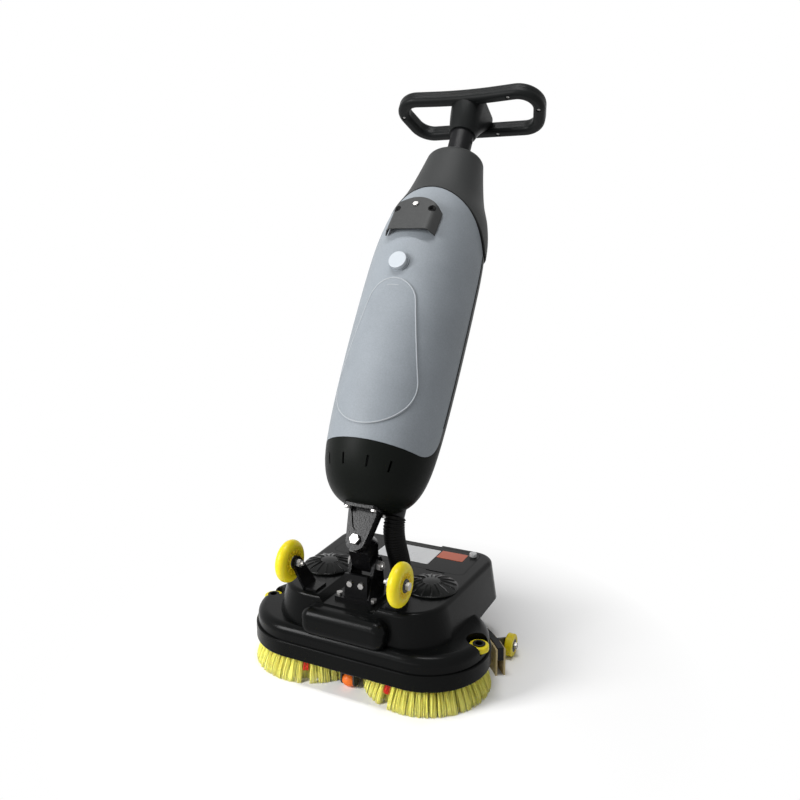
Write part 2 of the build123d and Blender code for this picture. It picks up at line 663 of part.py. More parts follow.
def make_wheel_arm(side):
    """Plate arm from the axle down to a bolted foot on the deck top."""
    boss = 3 * AXLE_RADIUS
    eye = Circle(boss).move(Pos(WHEEL_Y, WHEEL_Z))
    root = Pos((ARM_FOOT_FRONT + ARM_FOOT_REAR) / 2, DECK_TOP + ARM_THICKNESS / 2) * Rectangle(
        ARM_FOOT_REAR - ARM_FOOT_FRONT, ARM_THICKNESS)
    outline = make_hull((Sketch() + [eye, root]).edges())
    outline -= Circle(AXLE_RADIUS + RUN).move(Pos(WHEEL_Y, WHEEL_Z))
    plate = extrude(Plane.YZ * outline, ARM_THICKNESS / 2, both=True)
    foot = Pos(-ARM_FOOT_WIDTH / 2, (ARM_FOOT_FRONT + ARM_FOOT_REAR) / 2, DECK_TOP) * Box(
        ARM_FOOT_WIDTH, ARM_FOOT_REAR - ARM_FOOT_FRONT, ARM_THICKNESS * 0.7, align=UPWARD)
    arm = Pos(arm_x(), 0, 0) * (plate + foot)
    return arm if side > 0 else mirror(arm, Plane.YZ)


def make_wheel_axle(side):
    """Bolt with its head outside the wheel and a nut behind the arm."""
    head = 7.5
    head_height = 6.0
    reach = WHEEL_WIDTH + AIR + ARM_THICKNESS + 2 * head_height
    axle = bolt(AXLE_RADIUS, reach, head, head_height)
    axle += Pos(0, 0, WHEEL_WIDTH + 2 * AIR + ARM_THICKNESS) * hexagon(head, head_height)
    axle = Pos(WHEEL_X + WHEEL_WIDTH / 2 + AIR, WHEEL_Y, WHEEL_Z) * Rot(0, -90, 0) * axle
    return axle if side > 0 else mirror(axle, Plane.YZ)


def make_corner_roller(side):
    ring = tube(ROLLER_RADIUS, ROLLER_BORE + RUN, ROLLER_HEIGHT)
    ring = fillet(ring.faces().sort_by(Axis.Z)[-1].outer_wire().edges(), 2.5)
    ring = fillet(ring.faces().sort_by(Axis.Z)[0].outer_wire().edges(), 2.5)
    return Pos(side * ROLLER_X, ROLLER_Y, POCKET_FLOOR + AIR) * ring


def make_corner_pins():
    """Hollow studs that stand in the roller pockets, with a rim that keeps the ring on."""
    top = ROLLER_HEIGHT + 2 * AIR
    stud = tube(ROLLER_BORE, ROLLER_BORE - 3, top)
    stud += Pos(0, 0, top) * tube(ROLLER_BORE + 1.5, ROLLER_BORE - 3, 1.5)
    return Compound(children=[Pos(side * ROLLER_X, ROLLER_Y, POCKET_FLOOR) * stud for side in SIDES.values()])


# Squeegee

def arc_band(inner, outer, low, high):
    """Part of a ring about the squeegee's centre, as wide as its arc."""
    reach = 2 * outer
    half = math.radians(SQUEEGEE_ANGLE)
    fan = Polygon((0, 0), (reach * math.sin(half), reach * math.cos(half)), (0, 3 * reach),
                  (-reach * math.sin(half), reach * math.cos(half)), align=None)
    band = (Circle(outer) - Circle(inner)) & fan
    return Pos(0, SQUEEGEE_CENTRE_Y, low) * extrude(band, high - low)


def guide_y():
    middle = (FRONT_BLADE_RADIUS + REAR_BLADE_RADIUS) / 2
    return SQUEEGEE_CENTRE_Y + math.sqrt(middle ** 2 - GUIDE_X ** 2)


def make_squeegee_carrier():
    """Arched channel between the blades, with guide bosses, a suction port and a wheel arm at each end."""
    inner = FRONT_BLADE_RADIUS + BLADE
    outer = REAR_BLADE_RADIUS - BLADE
    carrier = arc_band(inner, outer, CARRIER_BOTTOM, CARRIER_TOP)
    for side in SIDES.values():
        boss = Pos(side * GUIDE_X, guide_y(), BLADE_HEIGHT)
        carrier += boss * Cylinder(GUIDE_BOSS, GUIDE_BOSS_TOP - BLADE_HEIGHT, align=UPWARD)
    port = Pos(PORT_X, port_y(), BLADE_HEIGHT)
    carrier += port * Cylinder(PORT_RADIUS, PORT_TOP - BLADE_HEIGHT, align=UPWARD)
    carrier -= port * Cylinder(PORT_RADIUS - DUCT_WALL, PORT_TOP - BLADE_HEIGHT, align=UPWARD)
    carrier -= Pos(PORT_X, port_y(), CARRIER_BOTTOM) * Cylinder((outer - inner) / 2 - DUCT_WALL, PORT_TOP)
    for side in SIDES.values():
        carrier -= Pos(side * GUIDE_X, guide_y(), CARRIER_BOTTOM) * Cylinder(
            GUIDE_RADIUS + RUN, GUIDE_BOSS_TOP - CARRIER_BOTTOM, align=UPWARD)
        carrier += support_arm(side)
    return carrier


def support_arm(side):
    """Plate that carries a support wheel behind the end of the arc."""
    x = SUPPORT_X - SUPPORT_WIDTH / 2 - AIR - SUPPORT_ARM / 2
    root_radius = REAR_BLADE_RADIUS - BLADE
    root_y = SQUEEGEE_CENTRE_Y + math.sqrt(root_radius ** 2 - x ** 2)
    eye = Circle(3 * SUPPORT_BOLT).move(Pos(SUPPORT_Y, SUPPORT_RADIUS))
    root = Pos(root_y, (BLADE_HEIGHT + CARRIER_TOP) / 2) * Rectangle(2 * BLADE, CARRIER_TOP - BLADE_HEIGHT)
    outline = make_hull((Sketch() + [eye, root]).edges()) - Circle(SUPPORT_BOLT + RUN).move(
        Pos(SUPPORT_Y, SUPPORT_RADIUS))
    plate = extrude(Plane.YZ * outline, SUPPORT_ARM / 2, both=True)
    plate = Pos(side * x, 0, 0) * plate
    return plate - arc_band(FRONT_BLADE_RADIUS, REAR_BLADE_RADIUS, 0, BLADE_HEIGHT)


def make_front_blade():
    return arc_band(FRONT_BLADE_RADIUS, FRONT_BLADE_RADIUS + BLADE, 0, BLADE_HEIGHT)


def make_rear_blade():
    return arc_band(REAR_BLADE_RADIUS - BLADE, REAR_BLADE_RADIUS, 0, BLADE_HEIGHT)


def make_squeegee_guides():
    """Headed pins under the battery box that the carrier slides on."""
    head_height = 5.0
    pin = Pos(0, 0, CARRIER_BOTTOM - AIR) * Cylinder(GUIDE_RADIUS, BOX_FLOOR - CARRIER_BOTTOM + AIR, align=UPWARD)
    pin += Pos(0, 0, CARRIER_BOTTOM - AIR - head_height) * Cylinder(GUIDE_HEAD, head_height, align=UPWARD)
    return Compound(children=[Pos(side * GUIDE_X, guide_y(), 0) * pin for side in SIDES.values()])


def make_support_wheel(side):
    bore = SUPPORT_BOLT + RUN
    wheel = tube(SUPPORT_RADIUS, bore, SUPPORT_WIDTH)
    wheel = fillet(wheel.faces().sort_by(Axis.Z)[-1].outer_wire().edges(), 3)
    wheel = fillet(wheel.faces().sort_by(Axis.Z)[0].outer_wire().edges(), 3)
    return Pos(side * SUPPORT_X - SUPPORT_WIDTH / 2, SUPPORT_Y, SUPPORT_RADIUS) * across(wheel)


def make_support_bolts():
    head = 7.0
    head_height = 5.0
    reach = SUPPORT_WIDTH + 2 * AIR + SUPPORT_ARM
    pin = bolt(SUPPORT_BOLT, reach + head_height, head, head_height)
    pin += Pos(0, 0, reach) * hexagon(head, head_height)
    right = Pos(SUPPORT_X + SUPPORT_WIDTH / 2 + AIR, SUPPORT_Y, SUPPORT_RADIUS) * Rot(0, -90, 0) * pin
    return Compound(children=[right, mirror(right, Plane.YZ)])


# Neck

def make_neck_foot():
    """Bolted base with two cheeks that hold the pitch bolt and a front plate between them."""
    base_top = SADDLE_FLOOR + FOOT_PLATE
    plate = Pos(0, (FOOT_FRONT + FOOT_REAR) / 2, SADDLE_FLOOR) * Box(
        2 * FOOT_HALF, FOOT_REAR - FOOT_FRONT, FOOT_PLATE, align=UPWARD)
    plate = fillet(plate.edges().filter_by(Axis.Z), FOOT_PLATE)
    eye = Circle(BARREL_RADIUS).move(Pos(PITCH_Y, PITCH_Z))
    half_root = BARREL_RADIUS * 2
    root = Pos(PITCH_Y - BARREL_RADIUS / 2, base_top - FOOT_PLATE / 2) * Rectangle(2 * half_root, FOOT_PLATE)
    outline = make_hull((Sketch() + [eye, root]).edges())
    outline -= Circle(PITCH_BOLT + RUN).move(Pos(PITCH_Y, PITCH_Z))
    cheek = extrude(Plane.YZ * outline, CHEEK / 2, both=True)
    offset = KNUCKLE_HALF + AIR + CHEEK / 2
    front_y = PITCH_Y - BARREL_RADIUS / 2 - half_root
    front_height = foot_bolt_z() + 3 * PITCH_BOLT - base_top
    front = Pos(0, front_y + CHEEK / 2, base_top) * Box(2 * offset, CHEEK, front_height, align=UPWARD)
    foot = plate + front + [Pos(side * offset, 0, 0) * cheek for side in SIDES.values()]
    for side in SIDES.values():
        hole = Pos(side * foot_bolt_x(), front_y, foot_bolt_z()) * Cylinder(
            PITCH_BOLT / 2 + RUN, 4 * CHEEK, rotation=(90, 0, 0))
        foot -= hole
    for x, y in foot_corners():
        foot -= Pos(x, y, SADDLE_FLOOR) * Cylinder(PITCH_BOLT / 2 + RUN, 2 * FOOT_PLATE)
    return foot


def foot_bolt_x():
    return KNUCKLE_HALF / 2 + CHEEK / 4


def foot_bolt_z():
    return SADDLE_FLOOR + FOOT_PLATE + 4 * CHEEK


def foot_corners():
    inset = 2 * FOOT_PLATE
    return [(side * (FOOT_HALF - inset / 2), y) for side in SIDES.values()
            for y in (FOOT_FRONT + inset, FOOT_REAR - inset)]


def make_foot_bolts():
    """Two bolts through the front plate and four that hold the base down."""
    shank = PITCH_BOLT / 2
    head_height = 4.0
    front_y = PITCH_Y - BARREL_RADIUS / 2 - 2 * BARREL_RADIUS
    level = Rot(-90, 0, 0) * bolt(shank, CHEEK, 2 * shank, head_height)
    bolts = [Pos(side * foot_bolt_x(), front_y, foot_bolt_z()) * level for side in SIDES.values()]
    upright = Rot(180, 0, 0) * bolt(shank, FOOT_PLATE, 2 * shank, head_height)
    bolts += [Pos(x, y, SADDLE_FLOOR + FOOT_PLATE) * upright for x, y in foot_corners()]
    return Compound(children=bolts)


def make_pitch_bolt():
    """Through bolt of the pitch pivot, with a washer under its head and its nut."""
    head = 10.0
    head_height = 7.0
    reach = 2 * (KNUCKLE_HALF + AIR + CHEEK)
    pin = bolt(PITCH_BOLT, reach + 1.6 * head_height, head, head_height)
    pin += Pos(0, 0, reach) * hexagon(head, head_height)
    return Pos(-reach / 2, PITCH_Y, PITCH_Z) * across(pin)


def make_knuckle():
    """Block that turns on the pitch bolt and carries the roll bolt."""
    front = LUG_REAR + GAP
    barrel = Circle(BARREL_RADIUS).move(Pos(-ROLL_N, -ROLL_S))
    block = Pos((front + KNUCKLE_REAR) / 2, -LUG_RADIUS / 2) * Rectangle(KNUCKLE_REAR - front, LUG_RADIUS)
    outline = make_hull((Sketch() + [barrel, block]).edges())
    body = extrude(Plane.YZ * outline, KNUCKLE_HALF, both=True)
    body += Pos(0, front, 0) * Rot(-90, 0, 0) * Cylinder(LUG_RADIUS, KNUCKLE_REAR - front, align=UPWARD)
    body -= Pos(0, -ROLL_N, -ROLL_S) * Cylinder(PITCH_BOLT + RUN, 4 * KNUCKLE_HALF, rotation=(0, 90, 0))
    body -= Cylinder(ROLL_BOLT + RUN, 4 * KNUCKLE_REAR, rotation=(90, 0, 0))
    body -= Pos(0, KNUCKLE_REAR, 0) * Rot(-90, 0, 0) * Cylinder(2 * ROLL_BOLT, KNUCKLE_REAR, align=UPWARD)
    return UPRIGHT * body


def make_roll_bolt():
    head = 9.5
    head_height = 7.0
    reach = KNUCKLE_REAR - LUG_FRONT + AIR
    pin = bolt(ROLL_BOLT, reach + head_height, head, head_height)
    pin += Pos(0, 0, reach) * hexagon(head, head_height)
    return UPRIGHT * Pos(0, LUG_FRONT - AIR, 0) * Rot(-90, 0, 0) * pin


def flange_s():
    return BODY_STATIONS[0][0]


def make_neck_casting():
    """Cast arm: rounded eye at the roll bolt, widening to a flange under the bowl, with a panelled front."""
    flange_low = flange_s() - FLANGE_THICKNESS
    eye = Circle(LUG_RADIUS)
    root = Pos(0, flange_low) * Rectangle(3 * LUG_RADIUS, FLANGE_THICKNESS)
    outline = make_hull((Sketch() + [eye, root]).edges())
    arm = Pos(0, LUG_REAR, 0) * extrude(Plane.XZ * outline, LUG_REAR - LUG_FRONT)
    panel = offset(make_hull((Sketch() + [Circle(LUG_RADIUS).move(Pos(0, 1.5 * LUG_RADIUS)), root]).edges()),
                   -5.0)
    arm -= Pos(0, LUG_FRONT + 3.0, 0) * extrude(Plane.XZ * panel, 5.0)
    brace = Polygon((LUG_REAR, 1.2 * LUG_RADIUS), (LUG_REAR + LUG_RADIUS / 2, flange_low),
                    (LUG_REAR, flange_low), align=None)
    arm += extrude(Plane.YZ * brace, LUG_RADIUS / 2, both=True)
    flange = Pos(0, (FLANGE_FRONT + FLANGE_REAR) / 2, flange_low) * Box(
        2 * FLANGE_HALF, FLANGE_REAR - FLANGE_FRONT, FLANGE_THICKNESS, align=UPWARD)
    arm += fillet(flange.edges().filter_by(Axis.Z), FLANGE_THICKNESS)
    arm -= Cylinder(ROLL_BOLT + RUN, 4 * KNUCKLE_REAR, rotation=(90, 0, 0))
    for x, n in casting_screw_places():
        arm -= Pos(x, n, flange_s()) * Cylinder(SCREW_RADIUS + RUN, 4 * FLANGE_THICKNESS)
    return UPRIGHT * arm


def casting_screw_places():
    inset = 2.5 * SCREW_RADIUS
    return [(side * (FLANGE_HALF - inset), n) for side in SIDES.values()
            for n in (FLANGE_FRONT + inset, FLANGE_REAR - inset)]


def make_casting_screws():
    head_height = 4.0
    screw = bolt(SCREW_RADIUS, FLANGE_THICKNESS, 2 * SCREW_RADIUS, head_height)
    return UPRIGHT * Compound(children=[Pos(x, n, flange_s() - FLANGE_THICKNESS) * screw
                                        for x, n in casting_screw_places()])


# Upright

def body_section(station, grow):
    height, half_width, front, back = station
    wide = half_width + grow
    front_half = EllipticalCenterArc((0, 0), wide, front + grow, 180, arc_size=180)
    back_half = EllipticalCenterArc((0, 0), wide, back + grow, 0, arc_size=180)
    return Pos(0, 0, height) * make_face([front_half, back_half])


def profile(column):
    """Smooth line of one size of the upright over its height."""
    return Spline(*[(station[0], station[column]) for station in BODY_STATIONS])


def value_at(line, height):
    low, high = 0.0, 1.0
    while high - low > 1e-7:
        middle = (low + high) / 2
        if (line @ middle).X < height:
            low = middle
        else:
            high = middle
    return (line @ low).Y


def even_stations():
    """Stations spaced evenly along the outline, so that the form between them stays fair."""
    width, front, back = profile(1), profile(2), profile(3)
    stations = [BODY_STATIONS[0]]
    for index in range(1, BODY_SECTIONS - 1):
        point = width @ (index / (BODY_SECTIONS - 1))
        stations.append((point.X, point.Y, value_at(front, point.X), value_at(back, point.X)))
    return stations + [BODY_STATIONS[-1]]


EVEN_STATIONS = even_stations()


def body_form(grow, lift=0.0, drop=0.0):
    """Outer form of the upright, grown or taken in, with its ends moved in by a wall."""
    stations = list(EVEN_STATIONS)
    low, high = stations[0], stations[-1]
    stations[0] = (low[0] + lift, *low[1:])
    stations[-1] = (high[0] - drop, *high[1:])
    return loft([body_section(station, grow) for station in stations])


def side_prism(outline):
    """Cutter from a side view outline: first coordinate is n, second is s."""
    return extrude(Plane.YZ * outline, 2 * BODY_STATIONS[7][1], both=True)


def tank_outline(inset):
    """Side view of the clean water tank, taken in by a wall: low wavy edge, flat back, arched top."""
    back = -GAP / 2 - inset
    front = 1.4 * TANK_LOW_N
    low_slope = (TANK_CORNER - TANK_LOW) / (TANK_CORNER_N - TANK_LOW_N)
    low_front = (front, TANK_LOW + low_slope * (front - TANK_LOW_N) + inset)
    corner = (TANK_CORNER_N, TANK_CORNER + inset)
    side_low = (back, TANK_SIDE + inset)
    side_high = (back, ARCH_SIDE - GAP - ARCH_SLOPE * back - 2 * inset)
    high_front = (front, ARCH_SIDE - GAP - ARCH_SLOPE * front - 2 * inset)
    return make_face([Line(low_front, corner), TangentArc(corner, side_low, tangent=(1, low_slope)),
                      Line(side_low, side_high), Line(side_high, high_front), Line(high_front, low_front)])


def make_front_tank():
    """Clean water tank: closed shell with a raised panel, a filler seat and its bore."""
    outer = body_form(0)
    tank = outer & side_prism(tank_outline(0))
    panel = make_hull((Sketch() + [Circle(PANEL_TOP_RADIUS).move(Pos(0, PANEL_TOP)),
                                   Circle(PANEL_LOW_RADIUS).move(Pos(0, PANEL_LOW))]).edges())
    cutter = extrude(Plane.XZ * panel, 2 * HOOK_STAND)
    tank += (body_form(PANEL_RISE) & cutter) - body_form(-1)
    tank += cap_place() * Pos(0, 0, -CAP_SEAT) * Cylinder(CAP_SEAT, CAP_SEAT - AIR, align=UPWARD)
    tank -= body_form(-BODY_WALL) & side_prism(tank_outline(BODY_WALL))
    neck = cap_place() * Pos(0, 0, -2 * CAP_PLUG_DEPTH)
    tank += neck * tube(CAP_PLUG + BODY_WALL, CAP_PLUG, 2 * CAP_PLUG_DEPTH - AIR)
    tank -= neck * Cylinder(CAP_PLUG + RUN, 2 * CAP_PLUG_DEPTH, align=UPWARD)
    tank += (hook_screw_place() * Cylinder(HOOK_BOSS, hook_boss_length(), align=UPWARD)) - body_form(-BODY_WALL)
    tank -= hook_screw_place() * Cylinder(HOOK_SCREW + RUN, hook_boss_length() / 2, align=UPWARD)
    return UPRIGHT * tank


def cap_place():
    """Filler cap's seat on the front of the tank, Z out of the tank."""
    return Pos(0, -CAP_FRONT, CAP_S) * Rot(90, 0, 0)


def make_fill_cap():
    """Screw cap with a fluted rim and a plug."""
    cap = Cylinder(CAP_RADIUS, CAP_HEIGHT, align=UPWARD)
    cap = fillet(cap.edges().group_by(Axis.Z)[-1], CAP_HEIGHT / 5)
    flute = Pos(CAP_RADIUS + 0.5, 0, 0) * Cylinder(1.2, 2 * CAP_HEIGHT)
    cap -= [Rot(0, 0, 360 * index / CAP_FLUTES) * flute for index in range(CAP_FLUTES)]
    cap += Pos(0, 0, -CAP_PLUG_DEPTH) * Cylinder(CAP_PLUG, CAP_PLUG_DEPTH, align=UPWARD)
    return UPRIGHT * cap_place() * cap


def bowl_outline(inset):
    """Side view of the bowl: everything below the two tanks."""
    front = 1.4 * TANK_LOW_N
    low_slope = (TANK_CORNER - TANK_LOW) / (TANK_CORNER_N - TANK_LOW_N)
    low_front = (front, TANK_LOW + low_slope * (front - TANK_LOW_N) - GAP)
    corner = (TANK_CORNER_N, TANK_CORNER - GAP)
    side = (-GAP / 2, TANK_SIDE - GAP)
    back = (-front, TANK_SIDE - GAP)
    return make_face([Line(low_front, corner), TangentArc(corner, side, tangent=(1, low_slope)),
                      Line(side, back), Line(back, (-front, inset)), Line((-front, inset), (front, inset)),
                      Line((front, inset), low_front)])


def make_lower_bowl():
    bowl = body_form(0) & side_prism(bowl_outline(0))
    bowl -= body_form(-BODY_WALL, lift=BODY_WALL)
    bowl -= Pos(HOSE_X, PIPE_N, 0) * Cylinder(PIPE_RADIUS + RUN, 2 * TANK_LOW)
    for angle in VENT_ANGLES:
        slot = Pos(0, -2 * VACUUM_RADIUS, VENT_S) * Box(VENT_WIDTH, 2 * VACUUM_RADIUS, VENT_HEIGHT)
        bowl -= Rot(0, 0, angle) * slot
    return UPRIGHT * bowl


def make_recovery_tank():
    """Back half of the upright, a closed shell with the riser's hole in its floor."""
    reach = 2 * HOOK_STAND
    outline = Polygon((GAP / 2, TANK_SIDE), (reach, TANK_SIDE), (reach, ARCH_SIDE - GAP),
                      (GAP / 2, ARCH_SIDE - GAP), align=None)
    inside = Polygon((GAP / 2 + BODY_WALL, TANK_SIDE + BODY_WALL), (reach, TANK_SIDE + BODY_WALL),
                     (reach, ARCH_SIDE - GAP - BODY_WALL), (GAP / 2 + BODY_WALL, ARCH_SIDE - GAP - BODY_WALL),
                     align=None)
    tank = (body_form(0) & side_prism(outline)) - (body_form(-BODY_WALL) & side_prism(inside))
    tank -= Pos(HOSE_X, PIPE_N, TANK_SIDE) * Cylinder(PIPE_RADIUS + RUN, 4 * BODY_WALL)
    return UPRIGHT * tank


def make_top_collar():
    """Shoulder above the tanks, with a sleeve that guides the handle's neck tube."""
    reach = 2 * HOOK_STAND
    high = BODY_STATIONS[-1][0]
    outline = Polygon((0, ARCH_SIDE), (reach, ARCH_SIDE), (reach, 2 * high),
                      (-reach, 2 * high), (-reach, ARCH_SIDE + ARCH_SLOPE * reach), align=None)
    form = body_form(0)
    form = fillet(form.edges().group_by(Axis.Z)[-1], COLLAR_ROUND)
    collar = form & side_prism(outline)
    collar -= body_form(-BODY_WALL, drop=3 * BODY_WALL)
    collar += Pos(0, 0, SLEEVE_BOTTOM) * Cylinder(TUBE_RADIUS + SLEEVE_WALL, high - BODY_WALL - SLEEVE_BOTTOM,
                                                  align=UPWARD)
    collar -= Pos(0, 0, SLEEVE_BOTTOM) * Cylinder(TUBE_RADIUS + RUN, high - SLEEVE_BOTTOM, align=UPWARD)
    return UPRIGHT * collar


def hook_place():
    return Pos(0, -HOOK_STAND, (HOOK_LOW + HOOK_TOP) / 2) * Rot(HOOK_TILT, 0, 0)


def hook_screw_place():
    """Back of the bracket's face at its screw, Z into the tank."""
    height = (HOOK_TOP - HOOK_LOW) / 2 - 3 * HOOK_HOLE
    return hook_place() * Pos(0, HOOK_SHEET / 2, height) * Rot(-90, 0, 0)


def hook_boss_length():
    return HOOK_BACK


def make_hook_bracket():
    """Folded sheet with an arched top, open at the bottom, that stands off the tank."""
    height = HOOK_TOP - HOOK_LOW
    path = FilletPolyline((-HOOK_HALF, HOOK_BACK), (-HOOK_FACE_HALF, 0), (HOOK_FACE_HALF, 0),
                          (HOOK_HALF, HOOK_BACK), radius=HOOK_FOLD)
    sheet = make_face(offset(path, HOOK_SHEET / 2).edges())
    sheet = Pos(0, 0, -height / 2) * extrude(sheet, height)
    half = HOOK_HALF + HOOK_SHEET
    corners = [Circle(HOOK_CORNER).move(Pos(side * (half - HOOK_CORNER), height / 2 - HOOK_ARCH - HOOK_CORNER))
               for side in SIDES.values()]
    arch = make_hull((Sketch() + corners + [Circle(half).move(Pos(0, height / 2 - half)),
                                            Rectangle(2 * half, 1).move(Pos(0, -height / 2))]).edges())
    hook = sheet & (Pos(0, 2 * HOOK_BACK, 0) * extrude(Plane.XZ * arch, 4 * HOOK_BACK))
    hole = Cylinder(HOOK_HOLE, 8 * HOOK_BACK, rotation=(90, 0, 0))
    for side in SIDES.values():
        hook -= Pos(side * (HOOK_FACE_HALF - HOOK_FOLD / 2), 0, height / 6) * hole
    hook = hook_place() * hook
    hook -= hook_screw_place() * Cylinder(HOOK_SCREW + RUN, 4 * HOOK_SHEET)
    return UPRIGHT * hook


def make_bracket_screw():
    screw = bolt(HOOK_SCREW, HOOK_SHEET + hook_boss_length() / 2 - AIR, 2 * HOOK_SCREW, HOOK_SCREW)
    return UPRIGHT * hook_screw_place() * Pos(0, 0, -HOOK_SHEET) * screw


def make_vacuum_motor():
    low = flange_s() + BODY_WALL
    base_height = 4 * BODY_WALL
    base = Cylinder(VACUUM_RADIUS * 0.4, base_height, align=UPWARD)
    can = Pos(0, 0, base_height) * Cylinder(VACUUM_RADIUS, VACUUM_TOP - low - base_height, align=UPWARD)
    can = chamfer(can.edges().group_by(Axis.Z)[-1], BODY_WALL)
    return UPRIGHT * Pos(VACUUM_X, VACUUM_N, low) * (base + can)


def make_suction_riser():
    low = flange_s() - HOSE_CUFF
    pipe = Pos(HOSE_X, PIPE_N, low) * tube(PIPE_RADIUS, PIPE_RADIUS - PIPE_WALL, RISER_TOP - low)
    return UPRIGHT * pipe


def make_water_pump():
    """Small pump on top of the vacuum motor, lying across the bowl."""
    seat = Box(PUMP_WIDTH, PUMP_DEPTH, PUMP_DEPTH / 2, align=UPWARD)
    barrel = Pos(0, 0, PUMP_DEPTH / 2) * Cylinder(PUMP_DEPTH / 2, PUMP_WIDTH * 1.4, rotation=(0, 90, 0))
    return UPRIGHT * Pos(VACUUM_X, PUMP_N, VACUUM_TOP) * (seat + barrel)


def make_control_board():
    """Circuit board on four posts over the battery, with a heat sink and two capacitors."""
    post_height = BOARD_POST
    board = Pos(0, 0, post_height) * Box(BOARD_WIDTH, BOARD_LENGTH, BOARD_THICKNESS, align=UPWARD)
    post = Cylinder(BOARD_POST / 2, post_height, align=UPWARD)
    for x in (-1, 1):
        for y in (-1, 1):
            board += Pos(x * (BOARD_WIDTH / 2 - BOARD_POST), y * (BOARD_LENGTH / 2 - BOARD_POST), 0) * post
    top = post_height + BOARD_THICKNESS
    board += Pos(-BOARD_WIDTH / 4, 0, top) * Box(BOARD_WIDTH / 4, BOARD_LENGTH / 2, BOARD_POST, align=UPWARD)
    for y in (-1, 1):
        board += Pos(BOARD_WIDTH / 4, y * BOARD_LENGTH / 5, top) * Cylinder(BOARD_POST, BOARD_POST, align=UPWARD)
    return Pos(0, BATTERY_FRONT + BATTERY_LENGTH / 2, BOX_FLOOR + WALL + BATTERY_HEIGHT) * board


# Suction hose

def hose_line():
    """Middle line of the hose, from the deck spigot to the riser's end under the bowl."""
    end = (UPRIGHT * Pos(HOSE_X, PIPE_N, flange_s() - AIR)).position
    angle = math.radians(LEAN)
    low = DECK_TOP + WALL / 2 + AIR
    return Bezier((HOSE_X, SPIGOT_Y, low), (HOSE_X, SPIGOT_Y, low + HOSE_PULL),
                  (HOSE_X, end.Y - HOSE_PULL * math.sin(angle), end.Z - HOSE_PULL * math.cos(angle)),
                  (HOSE_X, end.Y, end.Z))


def hose_span(first, last):
    """Ribbed wall between two shares of the hose's length."""
    line = hose_line()
    ribs = HOSE_RIBS // 2

    def ring(share, radius):
        return Plane(origin=line @ share, x_dir=(1, 0, 0), z_dir=line % share) * Circle(radius)
    outer = []
    inner = []
    for rib in range(ribs):
        for part_of_rib, radius in ((0.0, HOSE_ROOT), (0.22, HOSE_RADIUS), (0.56, HOSE_RADIUS), (0.78, HOSE_ROOT)):
            share = first + (last - first) * (rib + part_of_rib) / ribs
            outer.append(ring(share, radius))
            inner.append(ring(share, HOSE_BORE))
    outer.append(ring(last, HOSE_ROOT))
    inner.append(ring(last, HOSE_BORE))
    return loft(outer, ruled=True) - loft(inner, ruled=True)


def make_hose_lower():
    return hose_span(0.0, 0.5)


def make_hose_upper():
    return hose_span(0.5, 1.0)


# Handle

def loop_face():
    """Area inside the middle line of the grip: bowed front bar, sides that close in to the rear bar."""
    corners = [(-LOOP_FRONT_HALF, LOOP_FRONT), (0, LOOP_FRONT + LOOP_BOW), (LOOP_FRONT_HALF, LOOP_FRONT),
               (LOOP_REAR_HALF, LOOP_REAR), (-LOOP_REAR_HALF, LOOP_REAR)]
    rounds = [LOOP_ROUND, LOOP_BOW_RADIUS, LOOP_ROUND, LOOP_ROUND, LOOP_ROUND]
    return make_face(FilletPolyline(*corners, radius=rounds, close=True))


def grip_ring(inset):
    half = GRIP_WIDTH / 2 - inset
    return offset(loop_face(), half) - offset(loop_face(), -half)


def hub_section(height, radius, front, rear):
    """Section of the hub: round at both ends, between a front and a rear centre."""
    return Pos(0, (front + rear) / 2, height) * Rot(0, 0, 90) * SlotCenterToCenter(rear - front, 2 * radius)


def hub_front():
    return LOOP_FRONT + LOOP_BOW - GRIP_WIDTH / 2 + HUB_HALF


def hub_rear():
    return LOOP_REAR + GRIP_WIDTH / 4 - HUB_HALF


def hub_centre():
    return (hub_front() + hub_rear()) / 2


def make_handle_lower():
    """Lower grip shell in one piece with the hub that clamps the neck tube."""
    half = GRIP_HEIGHT / 2
    shell = Pos(0, 0, LOOP_S - half) * extrude(grip_ring(0), half)
    shell = fillet(shell.edges().group_by(Axis.Z)[0], GRIP_ROUND)
    middle = (HUB_BOTTOM + LOOP_S) / 2 - half / 2
    hub = loft([hub_section(HUB_BOTTOM, TUBE_RADIUS + TUBE_WALL, -GAP, GAP),
                hub_section(middle, TUBE_RADIUS + 2.2 * TUBE_WALL, hub_front() / 2, hub_rear() / 4),
                hub_section(LOOP_S, HUB_HALF, hub_front(), hub_rear())])
    shell += hub
    shell -= Pos(0, 0, HUB_BOTTOM) * Cylinder(TUBE_RADIUS, TUBE_TOP - HUB_BOTTOM, align=UPWARD)
    for x, n in handle_screw_places():
        shell -= Pos(x, n, LOOP_S - half) * Cylinder(2 * SCREW_RADIUS, half, align=UPWARD)
    return UPRIGHT * shell


def make_handle_upper():
    """Upper grip shell with the hub's cover and the recess for the control panel."""
    half = GRIP_HEIGHT / 2
    low = LOOP_S + GAP
    shell = Pos(0, 0, low) * extrude(grip_ring(0), half - GAP)
    shell = fillet(shell.edges().group_by(Axis.Z)[-1], GRIP_ROUND)
    cover = extrude(hub_section(low, HUB_HALF, hub_front(), hub_rear()), HUB_COVER)
    shell += fillet(cover.edges().group_by(Axis.Z)[-1], HUB_COVER / 4)
    shell -= panel_place() * extrude(panel_outline(GAP), PANEL_THICKNESS)
    shell -= panel_place() * Pos(0, button_shift(), -BUTTON_HEIGHT) * Cylinder(
        BUTTON_RADIUS + AIR, 2 * BUTTON_HEIGHT, align=UPWARD)
    return UPRIGHT * shell


def panel_place():
    """Floor of the control panel's recess in the hub's cover."""
    return Pos(0, hub_centre(), LOOP_S + GAP + HUB_COVER - PANEL_THICKNESS + PANEL_STAND)


